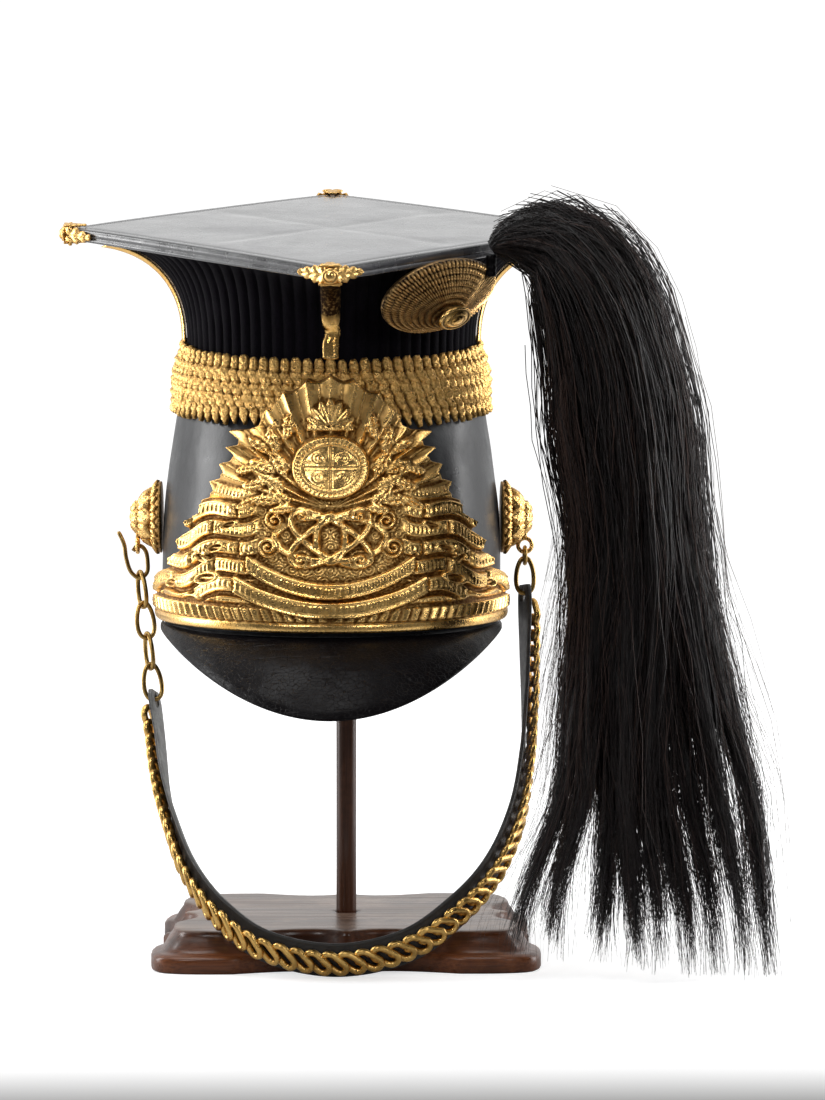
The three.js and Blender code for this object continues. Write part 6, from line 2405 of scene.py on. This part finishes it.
    def loose_wire(self) -> Array:
        """The middle line of a loose link's wire: an oval with full ends, a little wider above."""
        turn = np.linspace(0, 2 * math.pi, 40, endpoint=False)
        swing, reach = np.cos(turn), np.sin(turn)
        half_wide, half_long = self.link_width / 2 - self.wire, self.link_length / 2 - self.wire
        x = np.sign(swing) * np.abs(swing) ** 0.86 * half_wide * (1.04 - 0.2 * reach)
        z = np.sign(reach) * np.abs(reach) ** 0.92 * half_long
        return np.stack((x, 0 * swing, z), -1)

    def hang(self, name: str, top: Array, foot: Array, turns: Sequence[float], finishes: Finishes) -> None:
        """Loose links in a row between two places, each turned about the row."""
        run = foot - top
        wire_length = self.link_length - 2 * self.wire
        pitch = (np.linalg.norm(run) - wire_length) / (len(turns) - 1) if len(turns) > 1 else 0
        down = unit(run)
        axis = np.cross((0.0, 0.0, -1.0), down)
        sine, cosine = np.linalg.norm(axis), float(-down[2])
        axis = axis / max(sine, 1e-9)
        for i, turn in enumerate(turns):
            rings = tube_rings(self.loose_wire(), self.wire * 1.08, 12, True)
            c, s = math.cos(math.radians(turn)), math.sin(math.radians(turn))
            p = np.stack((rings[..., 0] * c - rings[..., 1] * s, rings[..., 0] * s + rings[..., 1] * c,
                          rings[..., 2]), -1)
            p = p * cosine + np.cross(axis, p) * sine + axis * (p @ axis)[..., None] * (1 - cosine)
            skin = Skin()
            skin.rings(p + top + down * (pitch * i + wire_length / 2), joined=True)
            made = skin.make(f"oval_{name}{i + 1}", finishes.aged)
            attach(made, "root")
            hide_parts(name + str(i + 1))

    def build(self, finishes: Finishes, tool: CopyTool, bosses: SideBosses) -> None:
        """Builds the whole chain.

        Args:
            finishes: the materials.
            tool: what sets the curb links.
            bosses: the bosses that it hangs from.
        """
        self.strap(finishes)
        self.curb(finishes, tool)
        lug_x, lug_z = bosses.wall + bosses.lug_reach, bosses.centre - bosses.lug_drop
        route = np.array([(-lug_x - self.hook_reach * out + FORM.middle, 0, lug_z + self.hook_reach * up)
                          for out, up in HOOK_ROUTE])
        path = curve_through(route, 70)
        radius = np.full(71, self.wire)
        radius[:2] = (0.6, 0.9)
        skin = Skin()
        skin.rings(tube_rings(path, radius, 12))
        made = skin.make("wire_hook", finishes.aged)
        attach(made, "root")
        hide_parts("chain_hook")
        bottom = route[route[:, 2].argmin()]
        self.hang("link_left_", bottom + (0, 0, 2 * self.wire + 3 * self.gap), self.hold(False),
                  (-62, 22, -64, 12), finishes)
        ring_z = lug_z - bosses.lug_radius + 2 * self.wire + self.gap - self.ring_radius
        turn = np.linspace(0, 2 * math.pi, 36, endpoint=False)
        loop = np.stack((np.full(36, lug_x + FORM.middle), self.ring_radius * np.cos(turn),
                         ring_z + self.ring_radius * np.sin(turn)), -1)
        skin = Skin()
        skin.rings(tube_rings(loop, self.wire, 12, True), joined=True)
        made = skin.make("round_ring", finishes.aged)
        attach(made, "root")
        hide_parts("ring_right")
        foot = np.array((lug_x + FORM.middle, 0, ring_z - self.ring_radius + 2 * self.wire + 2 * self.gap))
        self.hang("link_right_", foot, self.hold(True), (0,), finishes)


# The plume


@dataclass
class Plume:
    """The horsehair plume: a dense mass of locks under thousands of strands."""

    reach: float = 74.0
    rise: float = 5.0
    width: float = 99.0
    thickness: float = 56.0
    forward: float = 16.0
    clearance: float = 0.4
    furthest: float = 193.0
    strands: int = 4350
    strays: int = 700
    fringe_hairs: int = 440
    steps: int = 12
    fringe_steps: int = 22
    lock_count: int = 44
    lock_radius: float = 6.4
    seed: int = 41
    groups: tuple[float, ...] = (-1.28, -0.94, -0.62, -0.35, -0.1, 0.15, 0.43, 0.71, 1.0)
    group_shares: tuple[float, ...] = (0.06, 0.1, 0.14, 0.15, 0.14, 0.13, 0.1, 0.09)
    # Each row is a share of the reach, the rise, the fall, the width, the thickness and the way forward.
    table: tuple[tuple[float, ...], ...] = (
        (0, 0, 0, .07, .13, 0), (.06, .6, 0, .16, .26, 0), (.2, 1, 0, .3, .42, .05),
        (.4, .45, 0, .42, .6, .15),
        (.6, 0, .045, .54, .75, .28), (.76, 0, .125, .66, .85, .4), (.87, 0, .225, .75, .92, .5),
        (.9, 0, .35, .82, .97, .62), (.92, 0, .5, .89, 1, .75), (.94, 0, .65, .95, 1, .86),
        (.98, 0, .8, 1, .98, .94), (1, 0, .93, .98, .92, 1), (1, 0, 1, .94, .86, 1))

    def __post_init__(self) -> None:
        """Works out the flow: the middle line, the half sizes and the direction across."""
        h = math.sqrt(0.5)
        beside = FORM.board_side / 2 + 5
        x, y = h * beside + h * 10, -h * beside + h * 10
        root = FORM.on_board(x, y, 5.2)
        rows = np.array(self.table)
        fall = root[2] - self.clearance
        spots = np.stack((root[0] + self.reach * rows[:, 0], root[1] - self.forward * rows[:, 5],
                          root[2] + self.rise * rows[:, 1] - fall * rows[:, 2]), -1)
        run = np.append(0, np.cumsum(np.linalg.norm(np.diff(spots, axis=0), axis=1)))
        self.keys = run / run[-1]
        self.lines = [Smoother(self.keys, spots[:, k]) for k in range(3)]
        self.wide = Smoother(self.keys, self.width / 2 * rows[:, 3])
        self.thick = Smoother(self.keys, self.thickness / 2 * rows[:, 4])

    def point(self, t: Array, side: Array, front: Array) -> Array:
        """A place inside the plume.

        Args:
            t: share of the way from the root to the tips.
            side: place across, -1 to 1.
            front: place from back to front, -1 to 1.

        Returns:
            Points in millimetres.
        """
        t = np.clip(t, 0, 1)
        centre = np.stack([line(t) for line in self.lines], -1)
        ahead = np.stack([line(np.clip(t + 0.02, 0, 1)) - line(np.clip(t - 0.02, 0, 1))
                          for line in self.lines], -1)
        across = unit(np.stack((-ahead[..., 2], ahead[..., 0] * 0, ahead[..., 0]), -1))
        narrow = 1 - 0.3 * ramp(t, 0.1, 0.28) * (1 - ramp(t, 0.5, 0.92)) * (side > 0)
        narrow = narrow - 0.3 * ramp(t, 0.3, 0.47) * (1 - ramp(t, 0.76, 0.95)) * (side < 0)
        shift = across * (self.wide(t) * side * narrow)[..., None]
        shift[..., 1] -= self.thick(t) * front + 24 * ramp(t, 0.6, 1.02) ** 1.5
        return centre + shift

    def within(self, across: Array) -> Array:
        """Keeps places across from passing the CAD's side by more than a few millimetres."""
        limit = FORM.middle + self.furthest
        return np.where(across > limit, limit + 12 * np.tanh((across - limit) / 12), across)

    def lock_places(self, lock: Array, t: Array) -> tuple[Array, Array]:
        """Where locks run: they start all over the root and fall into nine groups below.

        Args:
            lock: the locks' numbers.
            t: share of the way, one row a lock.

        Returns:
            Places across and from back to front.
        """
        rng = np.random.default_rng(self.seed + 7)
        number = np.arange(self.lock_count)
        reach, turn = 0.92 * np.sqrt((number + 0.5) / self.lock_count), number * 2.399963
        side, front = reach * np.cos(turn), reach * np.sin(turn)
        rank = (np.argsort(np.argsort(side)) + 0.5) / self.lock_count
        group = np.searchsorted(np.cumsum(self.group_shares), rank)
        target = np.array(self.groups)[group] + rng.normal(0, 0.024, self.lock_count)
        phase = rng.uniform(0, 6.3, (self.lock_count, 4))[lock]
        pull, wave = 0.94 * ramp(t, 0.5, 0.84), ramp(t, 0.1, 0.5)
        wave = wave * (1 - 0.86 * ramp(t, 0.5, 0.8))
        swing = rng.uniform(0, 6.3, len(self.groups))[group][lock][:, None]
        sway = ramp(t, 0.45, 0.8) * (0.07 * np.sin(9 * t + swing) + 0.03 * np.sin(23 * t + swing))
        across = side[lock][:, None] * (1 - pull) + target[lock][:, None] * pull
        across = across + sway + wave * (0.09 * np.sin(8 * t + phase[:, :1])
                                         + 0.05 * np.sin(19 * t + phase[:, 1:2]))
        through = front[lock][:, None] + wave * (0.09 * np.sin(6 * t + phase[:, 2:3])
                                                 + 0.04 * np.sin(14 * t + phase[:, 3:]))
        return across, through

    def mass(self, finishes: Finishes) -> None:
        """The dark mass under the strands: grooved like hair above, parting into locks below."""
        t = np.concatenate((np.linspace(0, 0.3, 34), np.linspace(0.31, 0.8, 48)))[:, None]
        turn = (np.arange(132) * 2 * math.pi / 132)[None]
        groove = 0.86 + 0.05 * smooth_noise(turn * 2.6 + t * 0.6, t * 1.1, 3, 2)
        groove = groove + 0.035 * np.sin(turn * 22 + 2.2 * np.sin(t * 9))
        groove = groove + 0.02 * np.sin(turn * 47 + 1.7 * np.sin(t * 7 + 1))
        thin = (0.96 - 0.86 * ramp(t, 0.42, 0.78)) * groove
        skin = Skin()
        skin.rings(self.point(np.broadcast_to(t, groove.shape), np.cos(turn) * thin, np.sin(turn) * thin))
        rng = np.random.default_rng(self.seed + 3)
        u = np.linspace(0, 1, 20)
        for i in range(self.lock_count):
            line = 0.36 + (rng.uniform(0.84, 0.95) - 0.36) * u
            side, front = self.lock_places(np.array([i]), line[None])
            path = self.point(line, side[0], front[0])
            radius = self.lock_radius * np.minimum(1, 4 * u + 0.1) * (1 - 0.74 * ramp(line, 0.5, 0.84))
            radius = radius * (1 - u**5) * (1 + 0.1 * np.sin(line * 40 + i))
            lock = tube_rings(path, np.maximum(radius, 0.15), 10)
            ripple = 1 + 0.14 * np.sin(np.arange(10) * 2.4 + i)[None, :, None]
            skin.rings(path[:, None] + (lock - path[:, None]) * ripple * (1.0, 0.8, 1.0))
        made = skin.make("plume_mass", finishes.hair_body)
        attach(made, "root")
        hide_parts("plume")

    def hairs(self, rng: np.random.Generator, count: int, loose: float, stray: float,
              ends: tuple[float, float], start: tuple[float, float]) -> tuple[Array, Array]:
        """Lines of single strands, each near one lock.

        Args:
            rng: the random source.
            count: how many.
            loose: how far a strand stands from its lock.
            stray: how far it wanders from it on the way.
            ends: where they end, as shares of the way.
            start: where they begin.

        Returns:
            Points of each strand, and its radius at each.
        """
        lock = rng.integers(0, self.lock_count, count)
        own = rng.normal(0, 1, (count, 2))
        u = np.linspace(0, 1, self.steps)[None] ** 1.15
        begin, end = rng.uniform(*start, count)[:, None], rng.uniform(*ends, count)[:, None]
        end = np.minimum(end * (0.925 + 0.085 * ((lock * 0.618) % 1)[:, None]), 1.0)
        t = begin + (end - begin) * u
        side, front = self.lock_places(lock, t)
        spread = loose * (1 - 0.8 * ramp(t, 0.42, 0.84)) * (1 - 0.45 * ramp(u, 0.88, 1.0))
        phase = rng.uniform(0, 6.3, (count, 4))
        drift = stray * rng.normal(0, 1, (count, 2))
        wave = 0.042 * ramp(t, 0.06, 0.4)
        ripple = wave * (np.sin(u * 13 + phase[:, :1]) + 0.7 * np.sin(u * 27 + phase[:, 1:2]))
        side = side + own[:, :1] * spread + drift[:, :1] * u**1.7 + ripple
        front = (front + own[:, 1:] * spread * 1.3 + drift[:, 1:] * u**1.7
                 + 1.6 * wave * np.sin(u * 11 + phase[:, 2:3]))
        lines = self.point(t, side, front)
        lines[..., 2] = np.maximum(lines[..., 2], 1.2 + rng.uniform(0, 2, (count, 1)))
        lines[..., 0] = self.within(lines[..., 0])
        thick = (0.225 + 0.07 * rng.uniform(-1, 1, (count, 1))) * (1 - 0.7 * u**2.2)
        return lines, thick

    def build(self, finishes: Finishes, tool: StrandTool) -> None:
        """Builds the mass, the strands on it and the stray ones round it.

        Args:
            finishes: the materials.
            tool: what turns lines into strands.
        """
        self.mass(finishes)
        rng = np.random.default_rng(self.seed)
        third = self.strands // 3
        for name, loose, stray, ends, start in (
                ("plume_strands_inner", 0.13, 0.03, (0.93, 1.0), (0.0, 0.1)),
                ("plume_strands_middle", 0.16, 0.05, (0.86, 1.0), (0.0, 0.2)),
                ("plume_strands_outer", 0.2, 0.08, (0.8, 1.0), (0.0, 0.35))):
            lines, thick = self.hairs(rng, third, loose, stray, ends, start)
            made = tool.spin(name, lines, thick, finishes.hair)
            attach(made, "root")
        lines, thick = self.hairs(rng, self.strays, 0.22, 0.3, (0.5, 1.0), (0.0, 0.35))
        made = tool.spin("plume_strays", lines, thick * 0.75, finishes.hair_loose)
        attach(made, "root")
        self.fringe(rng, finishes, tool)
        LOG.info("plume: %d strands", self.strands + self.strays + self.fringe_hairs)

    def fringe(self, rng: np.random.Generator, finishes: Finishes, tool: StrandTool) -> None:
        """Fine hairs that stand off both sides of the plume, most of them on the left.

        Args:
            rng: the random source.
            finishes: the materials.
            tool: what turns lines into strands.
        """
        count = self.fringe_hairs
        own = rng.uniform(0, 1, (count, 1))
        hand = np.where(rng.uniform(0, 1, (count, 1)) < 0.78, -1.0, 1.0)
        u = np.linspace(0, 1, self.fringe_steps)[None]
        begin = 0.06 + 0.25 * own
        t = begin + (rng.uniform(0.66, 0.99, (count, 1)) - begin) * u
        reach = 0.82 + rng.uniform(0, 1.0, (count, 1)) ** 1.5 * np.where(hand < 0, 1.0, 0.8) * u**1.35
        side = hand * (reach + 0.08 * np.sin(u * 6 + own * 9) + 0.03 * np.sin(u * 17 + own * 40))
        front = rng.uniform(-0.8, 0.8, (count, 1)) + 0.1 * np.sin(u * 5 + own * 17)
        lines = self.point(t, side, front)
        lines[..., 2] = np.maximum(lines[..., 2], 2.0)
        lines[..., 0] = self.within(lines[..., 0])
        thick = np.full((count, 1), 0.1) * (1 - 0.7 * u**2)
        made = tool.spin("plume_fringe", lines, thick, finishes.hair_loose)
        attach(made, "root")


# The studio


@dataclass(frozen=True)
class SoftLight:
    """One soft light: its place and size in metres, and its power in watts."""

    name: str
    place: tuple[float, float, float]
    size: tuple[float, float]
    power: float


LIGHTS = (
    SoftLight("left_box", (-1.25, 0.3, 0.5), (0.5, 1.2), 14),
    SoftLight("right_box", (1.3, 0.35, 0.5), (0.5, 1.2), 14),
    SoftLight("top_box", (-0.2, -0.15, 1.8), (1.2, 0.9), 17),
    SoftLight("front_box", (-0.75, -1.6, 1.1), (0.35, 0.45), 7.6),
    SoftLight("front_box_right", (0.85, -1.5, 0.8), (0.25, 0.6), 4.5),
)


@dataclass
class Studio:
    """The pale floor, the soft lights and the camera."""

    focal: float = 103.5
    eye: tuple[float, float, float] = (0.0, -1.510, 0.205)
    yaw: float = 1.2
    pitch: float = 0.543

    def camera(self) -> None:
        """Sets the camera at the photograph's viewing angle."""
        data = bpy.data.cameras.new("camera")
        data.lens, data.sensor_width, data.sensor_fit = self.focal, 36.0, "AUTO"
        data.clip_start, data.clip_end = 0.05, 60.0
        made = bpy.data.objects.new("camera", data)
        made.location = self.eye
        made.rotation_euler = (math.radians(90 - self.pitch), 0, math.radians(-self.yaw))
        bpy.context.scene.collection.objects.link(made)
        bpy.context.scene.camera = made

    def light(self, soft: SoftLight) -> None:
        """Adds one soft light that faces the cap."""
        data = bpy.data.lights.new(soft.name, "AREA")
        data.shape, data.size, data.size_y = "RECTANGLE", *soft.size
        data.energy = soft.power
        made = bpy.data.objects.new(soft.name, data)
        made.location = soft.place
        made.rotation_euler = (Vector((0, 0, 0.2)) - Vector(soft.place)).to_track_quat("-Z", "Y").to_euler()
        bpy.context.scene.collection.objects.link(made)

    def build(self, finishes: Finishes) -> None:
        """Builds the floor, the lights and the surroundings."""
        self.camera()
        mesh = bpy.data.meshes.new("floor")
        mesh.from_pydata([(-9, -9, 0), (9, -9, 0), (9, 9, 0), (-9, 9, 0)], [], [(0, 1, 2, 3)])
        mesh.materials.append(finishes.floor)
        floor = bpy.data.objects.new("floor", mesh)
        bpy.context.scene.collection.objects.link(floor)
        for light in LIGHTS:
            self.light(light)
        world = bpy.data.worlds.new("surroundings")
        world.use_nodes = True
        bpy.context.scene.world = world
        s = Sketch(world.node_tree)
        shown = next(n for n in world.node_tree.nodes if n.type == "BACKGROUND")
        seen = s.add("ShaderNodeLightPath").outputs["Is Camera Ray"]
        way = s.add("ShaderNodeSeparateXYZ", {"Vector": s.add("ShaderNodeTexCoord").outputs["Generated"]})
        lit = s.span(way.outputs["Y"], -0.5, 0.35, 0.035, 0.85)
        s.set(shown.inputs["Color"], (1, 1, 1, 1))
        s.set(shown.inputs["Strength"], s.math("MAXIMUM", s.math("MULTIPLY", seen, 1.1), lit))
        bpy.context.scene.view_settings.view_transform = "Standard"


def main() -> None:
    """Loads the frame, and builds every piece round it."""
    logging.basicConfig(level=logging.INFO, format="%(name)s: %(message)s")
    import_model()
    finishes = Finishes()
    Studio().build(finishes)
    copies, strands = CopyTool(), StrandTool()
    Stand().build(finishes)
    Skull().build(finishes)
    Peak().build(finishes)
    ClothTop().build(finishes)
    Board().build(finishes)
    WaistBand().build(finishes, copies)
    FrontPlate().build(finishes)
    RidgeStrips().build(finishes)
    CornerMounts().build(finishes)
    bosses = SideBosses()
    bosses.build(finishes, copies)
    Cockade().build(finishes)
    ChinChain().build(finishes, copies, bosses)
    Plume().build(finishes, strands)


if __name__ == "__main__":
    main()
